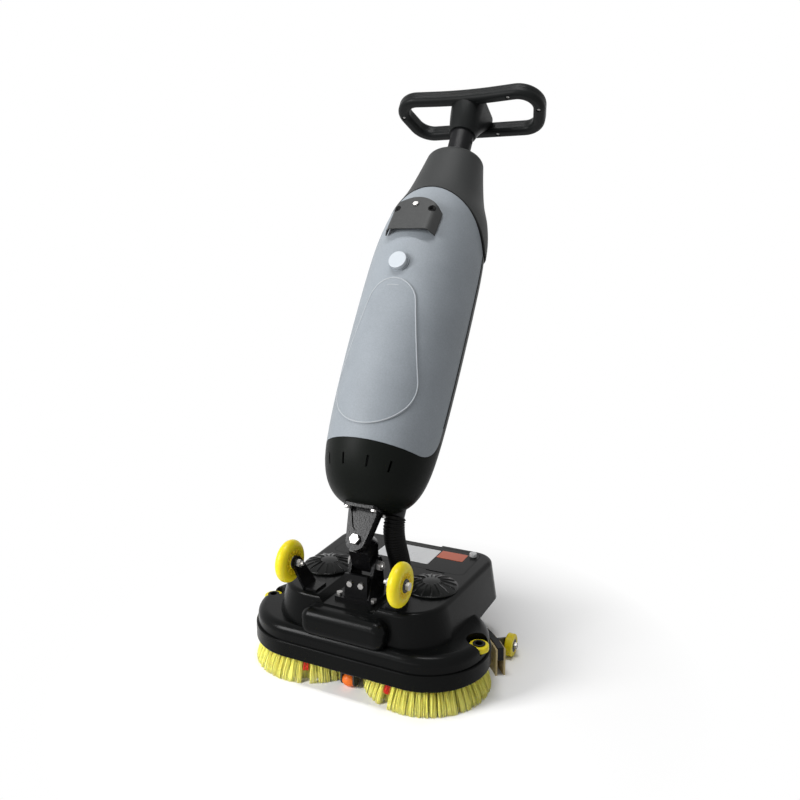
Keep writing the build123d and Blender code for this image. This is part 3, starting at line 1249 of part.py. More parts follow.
def panel_outline(grow):
    return RectangleRounded(PANEL_WIDTH + 2 * grow, PANEL_LENGTH + 2 * grow, PANEL_WIDTH / 4)


def button_shift():
    return PANEL_LENGTH / 2 - 2 * BUTTON_RADIUS


def make_control_panel():
    panel = extrude(panel_outline(0), PANEL_THICKNESS)
    panel = chamfer(panel.edges().group_by(Axis.Z)[-1], PANEL_STAND / 2)
    panel -= Pos(0, button_shift(), 0) * Cylinder(BUTTON_RADIUS + AIR, 2 * PANEL_THICKNESS)
    return UPRIGHT * panel_place() * panel


def make_power_button():
    low = BUTTON_TRAVEL + AIR - BUTTON_HEIGHT
    high = PANEL_THICKNESS + BUTTON_TRAVEL + AIR
    button = Pos(0, button_shift(), low) * Cylinder(BUTTON_RADIUS, high - low, align=UPWARD)
    button = fillet(button.edges().group_by(Axis.Z)[-1], BUTTON_TRAVEL / 2)
    return UPRIGHT * panel_place() * button


def handle_screw_places():
    line = loop_face().face().outer_wire()
    return [((line @ share).X, (line @ share).Y) for share in HANDLE_SCREWS]


def make_handle_screws():
    """Screws in the counterbores under the grip."""
    deep = GRIP_HEIGHT / 2
    length = deep / 2
    screw = Cylinder(2 * SCREW_RADIUS - AIR, length, align=UPWARD)
    screw -= Cylinder(SCREW_RADIUS, length / 2)
    screw -= Box(SCREW_RADIUS / 2, SCREW_RADIUS * 3, length / 3)
    return UPRIGHT * Compound(children=[Pos(x, n, LOOP_S - length) * screw for x, n in handle_screw_places()])


def make_neck_tube():
    """Tube between the collar and the handle, with the hole of its height button."""
    pipe = Pos(0, 0, TUBE_BOTTOM) * tube(TUBE_RADIUS, TUBE_RADIUS - TUBE_WALL, TUBE_TOP - TUBE_BOTTOM)
    collar_top = BODY_STATIONS[-1][0]
    hole = Cylinder(TUBE_WALL, 4 * TUBE_WALL, rotation=(0, 90, 0))
    hole = Pos(TUBE_RADIUS, 0, (collar_top + HUB_BOTTOM) / 2) * hole
    return UPRIGHT * (pipe - hole)


parts["splash_skirt"] = make_splash_skirt()
parts["deck_housing"] = make_deck_housing()
parts["deck_chassis"] = make_chassis()
for name, side in SIDES.items():
    parts["motor_cover_" + name] = make_motor_cover(side)
    parts["gear_motor_" + name] = make_gear_motor(side)
    parts["drive_shaft_" + name] = make_drive_shaft(side)
    parts["brush_block_" + name] = make_brush_block(side)
    parts["bristles_" + name] = make_bristles(side)
    parts["lid_knob_" + name] = make_lid_knob(side)
    parts["transport_wheel_" + name] = make_transport_wheel(side)
    parts["corner_roller_" + name] = make_corner_roller(side)
    parts["squeegee_wheel_" + name] = make_support_wheel(side)
parts["wheel_arms"] = Compound(children=[make_wheel_arm(side) for side in SIDES.values()])
parts["wheel_axles"] = Compound(children=[make_wheel_axle(side) for side in SIDES.values()])
parts["battery_pack"] = make_battery()
parts["battery_lid"] = make_battery_lid()
parts["control_board"] = make_control_board()
parts["suction_duct"] = make_suction_duct()
parts["glide_fork"] = make_glide_fork()
parts["glide_roller"] = make_glide_roller()
parts["corner_pins"] = make_corner_pins()
parts["squeegee_guides"] = make_squeegee_guides()
parts["squeegee_carrier"] = make_squeegee_carrier()
parts["squeegee_blade_front"] = make_front_blade()
parts["squeegee_blade_rear"] = make_rear_blade()
parts["squeegee_axles"] = make_support_bolts()
parts["neck_foot"] = make_neck_foot()
parts["foot_bolts"] = make_foot_bolts()
parts["pitch_bolt"] = make_pitch_bolt()
parts["knuckle_block"] = make_knuckle()
parts["roll_bolt"] = make_roll_bolt()
parts["neck_casting"] = make_neck_casting()
parts["casting_screws"] = make_casting_screws()
parts["hose_lower"] = make_hose_lower()
parts["hose_upper"] = make_hose_upper()
parts["lower_bowl"] = make_lower_bowl()
parts["front_tank"] = make_front_tank()
parts["fill_cap"] = make_fill_cap()
parts["recovery_tank"] = make_recovery_tank()
parts["top_collar"] = make_top_collar()
parts["hook_bracket"] = make_hook_bracket()
parts["bracket_screw"] = make_bracket_screw()
parts["vacuum_motor"] = make_vacuum_motor()
parts["water_pump"] = make_water_pump()
parts["suction_riser"] = make_suction_riser()
parts["neck_tube"] = make_neck_tube()
parts["handle_lower_shell"] = make_handle_lower()
parts["handle_upper_shell"] = make_handle_upper()
parts["handle_screws"] = make_handle_screws()
parts["control_panel"] = make_control_panel()
parts["power_button"] = make_power_button()


def origin_shift():
    """Move that puts the middle of the footprint on the origin and the floor at Z = 0."""
    boxes = [shape.bounding_box(optimal=True) for shape in parts.values()]
    low = [min(getattr(box.min, axis) for box in boxes) for axis in "XYZ"]
    high = [max(getattr(box.max, axis) for box in boxes) for axis in "XYZ"]
    return Pos(-(low[0] + high[0]) / 2, -(low[1] + high[1]) / 2, -low[2])


SHIFT = origin_shift()
for name, shape in parts.items():
    export_step(SHIFT * shape, os.path.join("parts", name + ".step"))
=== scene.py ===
import json
import math

import bpy
import numpy as np
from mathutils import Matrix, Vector


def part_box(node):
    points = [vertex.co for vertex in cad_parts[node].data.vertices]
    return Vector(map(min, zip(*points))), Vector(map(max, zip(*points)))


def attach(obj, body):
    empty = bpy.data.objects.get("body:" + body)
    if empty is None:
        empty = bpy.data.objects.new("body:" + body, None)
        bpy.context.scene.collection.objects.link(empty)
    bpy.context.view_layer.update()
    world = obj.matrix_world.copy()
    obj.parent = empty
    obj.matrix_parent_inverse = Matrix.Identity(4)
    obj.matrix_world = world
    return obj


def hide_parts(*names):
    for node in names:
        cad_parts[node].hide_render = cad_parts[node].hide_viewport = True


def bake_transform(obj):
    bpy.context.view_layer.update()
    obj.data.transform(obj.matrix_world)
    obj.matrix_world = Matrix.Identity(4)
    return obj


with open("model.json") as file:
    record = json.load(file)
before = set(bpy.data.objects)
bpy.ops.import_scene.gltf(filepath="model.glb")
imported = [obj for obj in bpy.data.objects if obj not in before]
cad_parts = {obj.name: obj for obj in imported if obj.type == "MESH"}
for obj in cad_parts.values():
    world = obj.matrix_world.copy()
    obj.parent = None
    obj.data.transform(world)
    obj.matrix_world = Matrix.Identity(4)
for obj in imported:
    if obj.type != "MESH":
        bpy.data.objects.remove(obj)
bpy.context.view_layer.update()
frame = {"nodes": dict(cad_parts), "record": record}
nodes = frame["nodes"]
print("frame loaded:", len(nodes), "nodes")


# Where things are, in metres: the brush line and the leaning upright
stance = {"lean": math.radians(32.0), "pitchForward": 0.015, "pitchHeight": 0.213, "rollAlong": 0.030,
          "rollForward": 0.046}
blockLow, blockHigh = (np.array(corner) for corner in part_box("brush_block_right"))
brushX, brushY = (blockLow + blockHigh)[:2] / 2
sidewards = np.array([1.0, 0.0, 0.0])
towardsBack = np.array([0.0, math.cos(stance["lean"]), -math.sin(stance["lean"])])
upAlong = np.array([0.0, math.sin(stance["lean"]), math.cos(stance["lean"])])
pitchAxis = np.array([0.0, brushY - stance["pitchForward"], stance["pitchHeight"]])
rollAxis = pitchAxis + stance["rollAlong"] * upAlong - stance["rollForward"] * towardsBack


# points on the upright: across, towards its back, and up along it
def onUpright(x, n, s):
    x, n, s = (values[..., None] for values in np.broadcast_arrays(x, n, s))
    return rollAxis + x * sidewards + n * towardsBack + s * upAlong


# a CAD node's points, seen from the roll axis
def pointsOf(nodeName):
    mesh = nodes[nodeName].data
    points = np.empty(3 * len(mesh.vertices))
    mesh.vertices.foreach_get("co", points)
    return points.reshape(-1, 3) - rollAxis


# even angles round a full turn
def fullTurn(count):
    return 2 * np.pi * np.arange(count) / count


def unit(vectors):
    return vectors / np.linalg.norm(vectors, axis=-1, keepdims=True)


# the length of a path up to each of its points
def runLength(path):
    return np.concatenate([[0], np.cumsum(np.linalg.norm(np.diff(path, axis=0), axis=1))])


# rows of values along a path, read off at other lengths
def readOff(where, length, values):
    return np.stack([np.interp(where, length, values[:, axis]) for axis in range(3)], axis=1)


def meshFrom(name, vertices, faces, smooth=True):
    mesh = bpy.data.meshes.new(name)
    mesh.from_pydata(np.asarray(vertices, float).reshape(-1, 3).tolist(), [],
                     faces if isinstance(faces, list) else faces.tolist())
    mesh.update()
    mesh.polygons.foreach_set("use_smooth", np.full(len(mesh.polygons), smooth))
    piece = bpy.data.objects.new(name, mesh)
    bpy.context.scene.collection.objects.link(piece)
    return piece


# quads of a grid of points, row by row; each row is a ring, and closed rows join the last ring to the first
def gridFaces(rows, columns, closedRows=False):
    row = np.arange(rows if closedRows else rows - 1)[:, None]
    column = np.arange(columns)[None, :]
    above, following = (row + 1) % rows, (column + 1) % columns
    quads = np.stack([row * columns + column, row * columns + following,
                      above * columns + following, above * columns + column], axis=-1)
    return quads.reshape(-1, 4)


def dress(piece, body, slotName, *finishes):
    for material in finishes:
        piece.data.materials.append(material)
    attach(piece, body)
    return piece


# Materials

# a socket in a node tree, with arithmetic
class Field:
    def __init__(self, graph, socket):
        self.graph = graph
        self.socket = socket

    def math(self, operation, other, swapped=False):
        first, second = (other, self) if swapped else (self, other)
        return self.graph.node("ShaderNodeMath", {"operation": operation}, {0: first, 1: second})

    def __add__(self, other):
        return self.math("ADD", other)

    def __radd__(self, other):
        return self.math("ADD", other, True)

    def __sub__(self, other):
        return self.math("SUBTRACT", other)

    def __rsub__(self, other):
        return self.math("SUBTRACT", other, True)

    def __mul__(self, other):
        return self.math("MULTIPLY", other)

    def __rmul__(self, other):
        return self.math("MULTIPLY", other, True)

    def __lt__(self, other):
        return self.math("LESS_THAN", other)

    def __gt__(self, other):
        return self.math("GREATER_THAN", other)


# the nodes of one material or of the world
class Graph:
    def __init__(self, owner):
        owner.use_nodes = True
        self.owner = owner
        self.tree = owner.node_tree

    def node(self, kind, settings=None, inputs=None, output=0):
        made = self.tree.nodes.new(kind)
        for key, value in (settings or {}).items():
            setattr(made, key, value)
        for key, value in (inputs or {}).items():
            if isinstance(value, Field):
                self.tree.links.new(value.socket, made.inputs[key])
            else:
                made.inputs[key].default_value = value
        return Field(self, made.outputs[output])

    def feed(self, nodeName, socketName, field):
        self.tree.links.new(field.socket, self.tree.nodes[nodeName].inputs[socketName])

    def place(self):
        return self.node("ShaderNodeTexCoord", output="Object")

    def attribute(self, name):
        return self.node("ShaderNodeAttribute", {"attribute_name": name}, output="Fac")

    def noise(self, scale, detail=3.0, roughness=0.55, vector=None):
        sockets = {"Vector": vector or self.place(), "Scale": scale, "Detail": detail, "Roughness": roughness}
        return self.node("ShaderNodeTexNoise", inputs=sockets, output="Fac")

    def pebbles(self, scale):
        return self.node("ShaderNodeTexVoronoi", {"feature": "SMOOTH_F1"},
                         {"Vector": self.place(), "Scale": scale, "Smoothness": 0.6}, "Distance")

    def vector(self, operation, first, second=(0.0, 0.0, 0.0), output=0):
        return self.node("ShaderNodeVectorMath", {"operation": operation}, {0: first, 1: second}, output)

    # the same place stretched: long streaks run along the axis with the smallest share
    def stretched(self, share):
        return self.vector("MULTIPLY", self.place(), share)

    def ramp(self, field, low, high, newLow=0.0, newHigh=1.0):
        sockets = {"Value": field, "From Min": low, "From Max": high, "To Min": newLow, "To Max": newHigh}
        return self.node("ShaderNodeMapRange", inputs=sockets, output="Result")

    def mix(self, factor, first, second):
        return self.node("ShaderNodeMix", {"data_type": "RGBA"}, {0: factor, 6: first, 7: second}, output=2)

    def bump(self, height, strength, distance):
        sockets = {"Height": height, "Strength": strength, "Distance": distance}
        return self.node("ShaderNodeBump", inputs=sockets)

    # what is seen directly, in a mirror or through glass
    def seen(self):
        ways = ("Is Camera Ray", "Is Glossy Ray", "Is Transmission Ray")
        rays = [self.node("ShaderNodeLightPath", output=way) for way in ways]
        return self.node("ShaderNodeMath", {"operation": "MINIMUM"}, {0: rays[0] + rays[1] + rays[2], 1: 1.0})


def finish(name, uniform):
    graph = Graph(bpy.data.materials.new(name))
    for socketName, value in uniform.items():
        graph.tree.nodes["Principled BSDF"].inputs[socketName].default_value = value
    return graph


fedSockets = {"colour": "Base Color", "roughness": "Roughness", "normal": "Normal", "coat": "Coat Weight"}


def shade(graph, **fields):
    for fieldName, field in fields.items():
        graph.feed("Principled BSDF", fedSockets[fieldName], field)
    return graph.owner


# a colour with its alpha, brightened by a factor and lifted by a step
def opaque(colour, factor=1.0, lift=0.0):
    return (*(lift + factor * channel for channel in colour), 1.0)


# moulded plastic: pebbled grain, slow changes of tone and gloss, and a few pale rubs
def mouldedPlastic(name, colour, roughness, grain, depth, specular=0.2, rub=0.0, shift=1.35):
    graph = finish(name, {"Specular IOR Level": specular})
    slow = graph.noise(7.0, 4.0)
    fine = graph.noise(grain, 2.0, 0.6)
    pebble = graph.pebbles(0.8 * grain)
    speckle = graph.noise(0.3 * grain, 1.0)
    tone = graph.mix(graph.ramp(slow + 0.5 * speckle, 0.5, 1.0), opaque(colour), opaque(colour, shift))
    scrape = graph.ramp(graph.noise(60.0, 6.0, 0.7, graph.stretched((1.0, 1.0, 5.0))), 0.66, 0.74) * rub
    tone = graph.mix(scrape, tone, opaque(colour, 1.6, 0.05))
    gloss = graph.ramp(slow + 0.4 * fine, 0.4, 1.0, roughness - 0.06, roughness + 0.08) + 0.1 * scrape
    return shade(graph, colour=tone, roughness=gloss, normal=graph.bump(fine + pebble, 0.35, depth))


# hammered paint on cast metal: shallow dimples under a thin clear coat
def castPaint(name, colour):
    graph = finish(name, {"Specular IOR Level": 0.10, "Coat Roughness": 0.1})
    dimple = graph.pebbles(260.0)
    slow = graph.noise(18.0, 3.0)
    tone = graph.mix(slow, opaque(colour), opaque(colour, 1.8))
    return shade(graph, colour=tone, roughness=graph.ramp(slow, 0.3, 0.7, 0.2, 0.28),
                 coat=graph.ramp(slow, 0.3, 0.7, 0.01, 0.03), normal=graph.bump(dimple, 0.25, 0.0006))


# bright plating: fine turned streaks and a faint bloom
def platedSteel(name, colour, roughness):
    graph = finish(name, {"Metallic": 1.0})
    streaks = graph.noise(420.0, 3.0, 0.6, graph.stretched((0.25, 1.0, 1.0)))
    tone = graph.mix(graph.noise(25.0), opaque(colour), opaque(colour, 0.8))
    gloss = graph.ramp(streaks, 0.3, 0.75, roughness - 0.08, roughness + 0.12)
    return shade(graph, colour=tone, roughness=gloss, normal=graph.bump(streaks, 0.12, 0.0003))


# cast urethane: cloudy depth under a soft gloss; the middle of a wheel is its dark bearing seal
seal = {"radius": 0.0124, "colour": (0.012, 0.012, 0.012),
        "wheels": ("transport_wheel_right", "squeegee_wheel_right")}   # the left ones share their axes


def urethane(name, colour, deep, hubs=()):
    graph = finish(name, {"Subsurface Weight": 0.12, "Subsurface Scale": 0.005, "Coat Roughness": 0.2,
                          "Specular IOR Level": 0.2})
    cloud = graph.noise(30.0, 3.0)
    fine = graph.noise(600.0, 2.0)
    tone = graph.mix(graph.ramp(cloud, 0.35, 0.7), opaque(colour), opaque(deep))
    scuff = graph.ramp(graph.noise(160.0, 5.0, 0.7), 0.62, 0.72, 0.0, 0.35)
    tone = graph.mix(scuff, tone, opaque(deep, 0.72))
    for hub in hubs:
        offset = graph.vector("MULTIPLY", graph.vector("SUBTRACT", graph.place(), hub), (0.0, 1.0, 1.0))
        inSeal = graph.vector("LENGTH", offset, output="Value") < seal["radius"]
        tone = graph.mix(inSeal, tone, opaque(seal["colour"]))
    return shade(graph, colour=tone, roughness=graph.ramp(fine, 0.3, 0.7, 0.34, 0.46),
                 coat=graph.ramp(cloud, 0.3, 0.7, 0.05, 0.12), normal=graph.bump(fine, 0.1, 0.0002))


# nylon: each strand has its own tone, its end is paler, and the wear tuft is red
nylon = {"deep": (0.84, 0.74, 0.07), "bright": (0.97, 0.92, 0.20), "end": (0.98, 0.95, 0.38),
         "endShare": 0.4, "wear": (0.72, 0.035, 0.02)}


def bristleNylon(name):
    graph = finish(name, {"Subsurface Weight": 0.1, "Subsurface Scale": 0.003, "Specular IOR Level": 0.2})
    strand = graph.attribute("strandTone")
    tone = graph.mix(strand, opaque(nylon["deep"]), opaque(nylon["bright"]))
    tone = graph.mix(nylon["endShare"] * graph.attribute("alongStrand"), tone, opaque(nylon["end"]))
    tone = graph.mix(graph.attribute("wearTuft"), tone, opaque(nylon["wear"]))
    return shade(graph, colour=tone, roughness=graph.ramp(strand, 0.0, 1.0, 0.52, 0.4))


# name, colour, roughness, grain, depth of the grain, specular level, rubs and shift of tone
# a film or gloss further down holds the same numbers, from the roughness on
plastics = {
    "deck_black": ("deckPlastic", (0.0024, 0.0026, 0.0026), 0.22, 900.0, 0.00012, 0.07, 0.05),
    "skirt_black": ("skirtRubber", (0.0024, 0.0026, 0.0025), 0.27, 700.0, 0.00015, 0.06, 0.08),
    "cover_black": ("coverPlastic", (0.0036, 0.0039, 0.0037), 0.22, 900.0, 0.00012, 0.12),
    "bowl_black": ("bowlPlastic", (0.0042, 0.0050, 0.0043), 0.40, 1100.0, 0.0004, 0.05),
    "recovery_black": ("recoveryPlastic", (0.023, 0.024, 0.024), 0.50, 1000.0, 0.0005, 0.14, 0.0, 1.2),
    "handle_black": ("handlePlastic", (0.0060, 0.0066, 0.0066), 0.36, 1300.0, 0.0003, 0.08),
    "tank_grey": ("tankPlastic", (0.186, 0.205, 0.224), 0.46, 1200.0, 0.0008, 0.22, 0.0, 1.28),
    "duct_black": ("ductPlastic", (0.008, 0.008, 0.009), 0.4, 800.0, 0.0003),
    "battery_grey": ("batteryCase", (0.03, 0.03, 0.033), 0.45, 800.0, 0.0003),
    "board_green": ("circuitBoard", (0.008, 0.07, 0.025), 0.3, 400.0, 0.0002),
    "motor_case": ("motorCase", (0.03, 0.03, 0.032), 0.4, 700.0, 0.0003),
    "squeegee_black": ("squeegeePlastic", (0.006, 0.006, 0.0064), 0.42, 800.0, 0.0004, 0.15, 0.1),
    "block_black": ("blockPlastic", (0.008, 0.008, 0.008), 0.5, 600.0, 0.0004),
    "hose_black": ("hoseRubber", (0.0044, 0.0044, 0.0044), 0.45, 800.0, 0.0003, 0.07),
    "panel_black": ("panelPlastic", (0.005, 0.005, 0.006), 0.22, 900.0, 0.0001, 0.4),
    "button_grey": ("buttonPlastic", (0.18, 0.18, 0.19), 0.4, 900.0, 0.0003, 0.4),
    "cap_white": ("capPlastic", (0.40, 0.43, 0.46), 0.36, 700.0, 0.0003, 0.3, 0.0, 1.08),
    "knob_white": ("knobPlastic", (0.60, 0.61, 0.61), 0.36, 700.0, 0.0003, 0.4, 0.0, 1.08),
    "roller_orange": ("rollerPlastic", (0.66, 0.13, 0.012), 0.38, 700.0, 0.0003, 0.3),
    "bracket_black": ("bracketPaint", (0.036, 0.037, 0.037), 0.5, 500.0, 0.0005, 0.16, 0.1, 1.25),
    "tube_black": ("tubeAnodised", (0.005, 0.005, 0.0056), 0.36, 1200.0, 0.0002, 0.1),
    "chassis_grey": ("chassisPaint", (0.03, 0.03, 0.032), 0.45, 500.0, 0.0004),
    "blade_tan": ("bladeRubber", (0.46, 0.37, 0.20), 0.5, 500.0, 0.0004, 0.3, 0.2, 1.15),
}
wheelHubs = [tuple(np.add(*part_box(wheelName)) / 2) for wheelName in seal["wheels"]]
paint = {slotName: mouldedPlastic(*look) for slotName, look in plastics.items()}
paint["cast_black"] = castPaint("castGloss", (0.0030, 0.0030, 0.0033))
paint["bolt_steel"] = platedSteel("platedSteel", (0.46, 0.45, 0.44), 0.42)
paint["wheel_amber"] = urethane("wheelUrethane", (0.70, 0.585, 0.012), (0.62, 0.50, 0.008), wheelHubs)
paint["wheelWeb"] = urethane("webUrethane", (0.65, 0.475, 0.005), (0.55, 0.375, 0.003))
paint["bristle_cream"] = bristleNylon("bristleNylon")
slotOf = {entry["node"]: entry["material_slot"] for entry in frame["record"]["subparts"]}
slotOf.update({"top_collar": "recovery_black", "wheel_arms": "cast_black"})   # closer to the real finish
for nodeName, piece in nodes.items():
    piece.data.materials.clear()
    piece.data.materials.append(paint[slotOf[nodeName]])
print("materials:", len(paint))


# Brushes: fine strands in tufts, on the slice of the block that holds them
brush = {"length": 0.045, "backing": 0.003, "blockRadius": 0.104, "boreRadius": 0.009, "tipRadius": 0.1190,
         "rows": ((0.0965, 0.1165, 54), (0.084, 0.1000, 46), (0.071, 0.0830, 38)),   # root, tip, tufts
         "tuftRadius": 0.0035, "strandsPerTuft": 36, "strandRadius": 0.00048, "sides": 3, "levels": 5,
         "flare": 1.0, "flareSpread": 1.1, "sideFlare": 0.15, "tuftLean": 0.0008, "scatterOut": 0.0010,
         "scatterSide": 0.0011, "uneven": 0.0035, "bow": 1.35, "slabSides": 96, "seed": 7,
         "wearAngle": {-1: math.radians(-71.0), 1: math.radians(-106.0)}, "wearLow": 0.021}
generator = np.random.default_rng(brush["seed"])


# roots and tips of a brush's strands: each keeps its place in its tuft, and the tuft spreads downwards
def strandField(side):
    collected = []
    for rowRoot, rowTip, count in brush["rows"]:
        size = (count, brush["strandsPerTuft"])
        step = 2 * np.pi / count
        angle = step * (np.arange(count)[:, None] + generator.random())
        spread = brush["tuftRadius"] * np.sqrt(generator.random(size))
        turn = 2 * np.pi * generator.random(size)
        outward, sideways = spread * np.cos(turn), spread * np.sin(turn)
        flare = brush["flare"] + brush["flareSpread"] * generator.random(size)
        leanOut, leanSide = generator.normal(0, brush["tuftLean"], (2, count, 1))
        away = np.abs(np.remainder(angle - brush["wearAngle"][side] + np.pi, 2 * np.pi) - np.pi)
        wear = np.broadcast_to((away < step / 2) & (rowRoot == brush["rows"][0][0]), size)
        tipOut = rowTip + leanOut + outward * flare + generator.normal(0, brush["scatterOut"], size)
        tipOut = np.minimum(tipOut, brush["tipRadius"])
        tipSide = leanSide + sideways * (flare + brush["sideFlare"])
        tipSide = tipSide + generator.normal(0, brush["scatterSide"], size)
        low = brush["uneven"] * generator.random(size) ** 2
        share = np.where(wear, 1 - brush["wearLow"] / brush["length"], 1.0)
        tipOut = (rowRoot + outward) * (1 - share) + tipOut * share
        low = np.where(wear, brush["wearLow"], low)
        outAxis = np.stack(np.broadcast_arrays(np.cos(angle), np.sin(angle)), axis=-1)
        sideAxis = np.stack(np.broadcast_arrays(-np.sin(angle), np.cos(angle)), axis=-1)
        root = (rowRoot + outward)[..., None] * outAxis + sideways[..., None] * sideAxis
        tip = tipOut[..., None] * outAxis + tipSide[..., None] * sideAxis
        collected.append((root.reshape(-1, 2), tip.reshape(-1, 2), low.ravel(), wear.ravel()))
    return [np.concatenate(column) for column in zip(*collected)]


# a strand is a three-sided tube on a line that leans out and then straightens
# the block's slice is a bored ring
def makeBristles(name, side, body, node):
    root, tip, low, wear = strandField(side)
    count, levels, sides = len(root), brush["levels"], brush["sides"]
    share = np.linspace(0, 1, levels)
    bow = (1 - (1 - share) ** brush["bow"])[None, :, None]
    middle = root[:, None] * (1 - bow) + tip[:, None] * bow
    height = brush["length"] * (1 - share) + low[:, None] * share
    around = fullTurn(sides)
    ring = np.stack([np.cos(around), np.sin(around)], axis=1) * brush["strandRadius"]
    points = np.empty((count, levels, sides, 3))
    points[..., :2] = middle[:, :, None] + ring
    points[..., 2] = height[:, :, None]
    starts = (np.arange(count) * levels * sides)[:, None, None]
    tubes = (gridFaces(levels, sides) + starts).reshape(-1, 4)
    ends = np.concatenate([starts[:, 0] + (levels - 1) * sides + np.arange(sides),
                           starts[:, 0] + np.arange(sides)[::-1]])
    turn = fullTurn(brush["slabSides"])
    profile = np.array([(brush["boreRadius"], 0.0), (brush["blockRadius"], 0.0),
                        (brush["blockRadius"], brush["backing"]), (brush["boreRadius"], brush["backing"])])
    slab = np.stack([profile[:, :1] * np.cos(turn), profile[:, :1] * np.sin(turn),
                     brush["length"] + profile[:, 1:] + 0 * turn], axis=-1)
    slabFaces = gridFaces(len(profile), brush["slabSides"], True) + points.size // 3
    vertices = np.concatenate([points.reshape(-1, 3), slab.reshape(-1, 3)]) + [side * brushX, brushY, 0.0]
    piece = meshFrom(name, vertices, tubes.tolist() + ends.tolist() + slabFaces.tolist())
    isSlab = np.arange(len(piece.data.polygons)) >= len(tubes) + len(ends)
    dress(piece, body, "bristle_cream", paint["bristle_cream"], paint["block_black"])
    piece.data.polygons.foreach_set("material_index", isSlab.astype(np.int32))
    bare = np.zeros(slab.size // 3)
    tone = np.repeat(generator.random(count), levels * sides)
    along = np.tile(np.repeat(share, sides), count)
    wearAll = np.repeat(wear, levels * sides)
    for attributeName, values in (("strandTone", tone), ("alongStrand", along), ("wearTuft", wearAll)):
        attribute = piece.data.attributes.new(attributeName, "FLOAT", "POINT")
        attribute.data.foreach_set("value", np.concatenate([values, bare]).astype(np.float32))
    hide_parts(node)
    return piece


makeBristles("bristlesLeftStrands", -1, "brush_left", "bristles_left")
makeBristles("bristlesRightStrands", 1, "brush_right", "bristles_right")
print("bristles done")


# Suction hose: one ribbed tube, in a span below the neck's middle and a span above it
hose = {"x": 0.042, "spigotY": 0.050, "spigotZ": 0.1683, "pull": 0.045, "pipeN": 0.036, "pipeS": 0.0617,
        "radius": 0.0205, "root": 0.0187, "bore": 0.0172, "ribs": 13, "ribEdge": 0.75, "sides": 48,
        "perRib": 8, "steps": 801}


# points and headings along the hose's cubic curve, by share of its length
def hoseRoute(share):
    start = np.array([hose["x"], brushY + hose["spigotY"], hose["spigotZ"]])
    end = onUpright(hose["x"], hose["pipeN"], hose["pipeS"])
    controls = np.stack([start, start + [0, 0, hose["pull"]], end - hose["pull"] * upAlong, end])
    t = np.linspace(0, 1, hose["steps"])[:, None]
    curve = ((1 - t) ** 3 * controls[0] + 3 * (1 - t) ** 2 * t * controls[1]
             + 3 * (1 - t) * t ** 2 * controls[2] + t ** 3 * controls[3])
    length = runLength(curve)
    where = share * length[-1]
    slope = np.gradient(curve, length, axis=0)
    return readOff(where, length, curve), unit(readOff(where, length, slope))


# the hose's skin is a circle carried along the route, its radius a clipped cosine of the rib count
def makeHose(name, first, last, node):
    count, sides = hose["ribs"] * hose["perRib"] + 1, hose["sides"]
    along, heading = hoseRoute(first + (last - first) * np.linspace(0, 1, count))
    wave = np.clip(0.5 - hose["ribEdge"] * np.cos(2 * np.pi * np.linspace(0, hose["ribs"], count)), 0, 1)
    outer = hose["root"] + (hose["radius"] - hose["root"]) * wave
    turn = fullTurn(sides)
    acrossX = np.tile(sidewards, (count, 1))
    acrossN = np.cross(heading, acrossX)
    circle = np.cos(turn)[None, :, None] * acrossX[:, None] + np.sin(turn)[None, :, None] * acrossN[:, None]
    skin = along[:, None] + outer[:, None, None] * circle
    lining = along[:, None] + hose["bore"] * circle
    lap = np.concatenate([skin, lining[::-1]])
    piece = meshFrom(name, lap, gridFaces(len(lap), sides, True))
    piece.data.materials.append(paint["hose_black"])
    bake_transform(piece)
    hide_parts(node)
    return piece


makeHose("hoseLowerRibbed", 0.0, 0.5, "hose_lower")
makeHose("hoseUpperRibbed", 0.5, 1.0, "hose_upper")
print("hose done")


# Motor covers: low domes with ribs that fan out from a plain middle
cover = {"radius": 0.0500, "edge": 0.0040, "rise": 0.0105, "ribs": 16, "ribHalf": 0.0013, "ribRise": 0.0022,
         "ribFrom": 0.33, "ribTo": 0.965, "fade": 0.06, "pole": 0.04, "rows": 56, "columns": 384,
         "rim": ((0.0005, 0.0034), (0.0007, 0.0026), (0.0007, 0.0))}   # step out, height


# height over the deck is a shallow parabola of the radius, plus a rounded rib at each sixteenth of a turn
def makeCover(name, node):
    low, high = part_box(node)
    middleX, middleY = (np.add(low, high) / 2)[:2]
    share = np.linspace(cover["pole"], 1, cover["rows"])[:, None]
    turn = fullTurn(cover["columns"])[None]
    part = turn * cover["ribs"] / (2 * np.pi)
    fromRib = np.abs(part - np.round(part)) * 2 * np.pi / cover["ribs"]
    aside = fromRib * share * cover["radius"] / cover["ribHalf"]
    ends = np.clip(np.minimum(share - cover["ribFrom"], cover["ribTo"] - share) / cover["fade"], 0, 1)
    rib = cover["ribRise"] * np.sqrt(ends) * np.exp(-aside ** 4)
    dome = cover["edge"] + cover["rise"] * (1 - share ** 2) + rib
    rimOut, rimRise = (np.array(column)[:, None] + 0 * turn for column in zip(*cover["rim"]))
    reach = np.concatenate([cover["radius"] * share + 0 * turn, cover["radius"] + rimOut])
    rise = low[2] + np.concatenate([dome, rimRise])
    rows = np.stack([middleX + reach * np.cos(turn), middleY + reach * np.sin(turn), rise], axis=-1)
    last = rise.size - cover["columns"]
    faces = gridFaces(len(rows), cover["columns"])[:, ::-1].tolist()
    faces += [list(range(cover["columns"])), list(range(rise.size - 1, last - 1, -1))]
    piece = meshFrom(name, rows, faces)
    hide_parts(node)
    return dress(piece, "deck", "cover_black", paint["cover_black"])


makeCover("motorCoverFannedLeft", "motor_cover_left")
makeCover("motorCoverFannedRight", "motor_cover_right")
print("motor covers done")


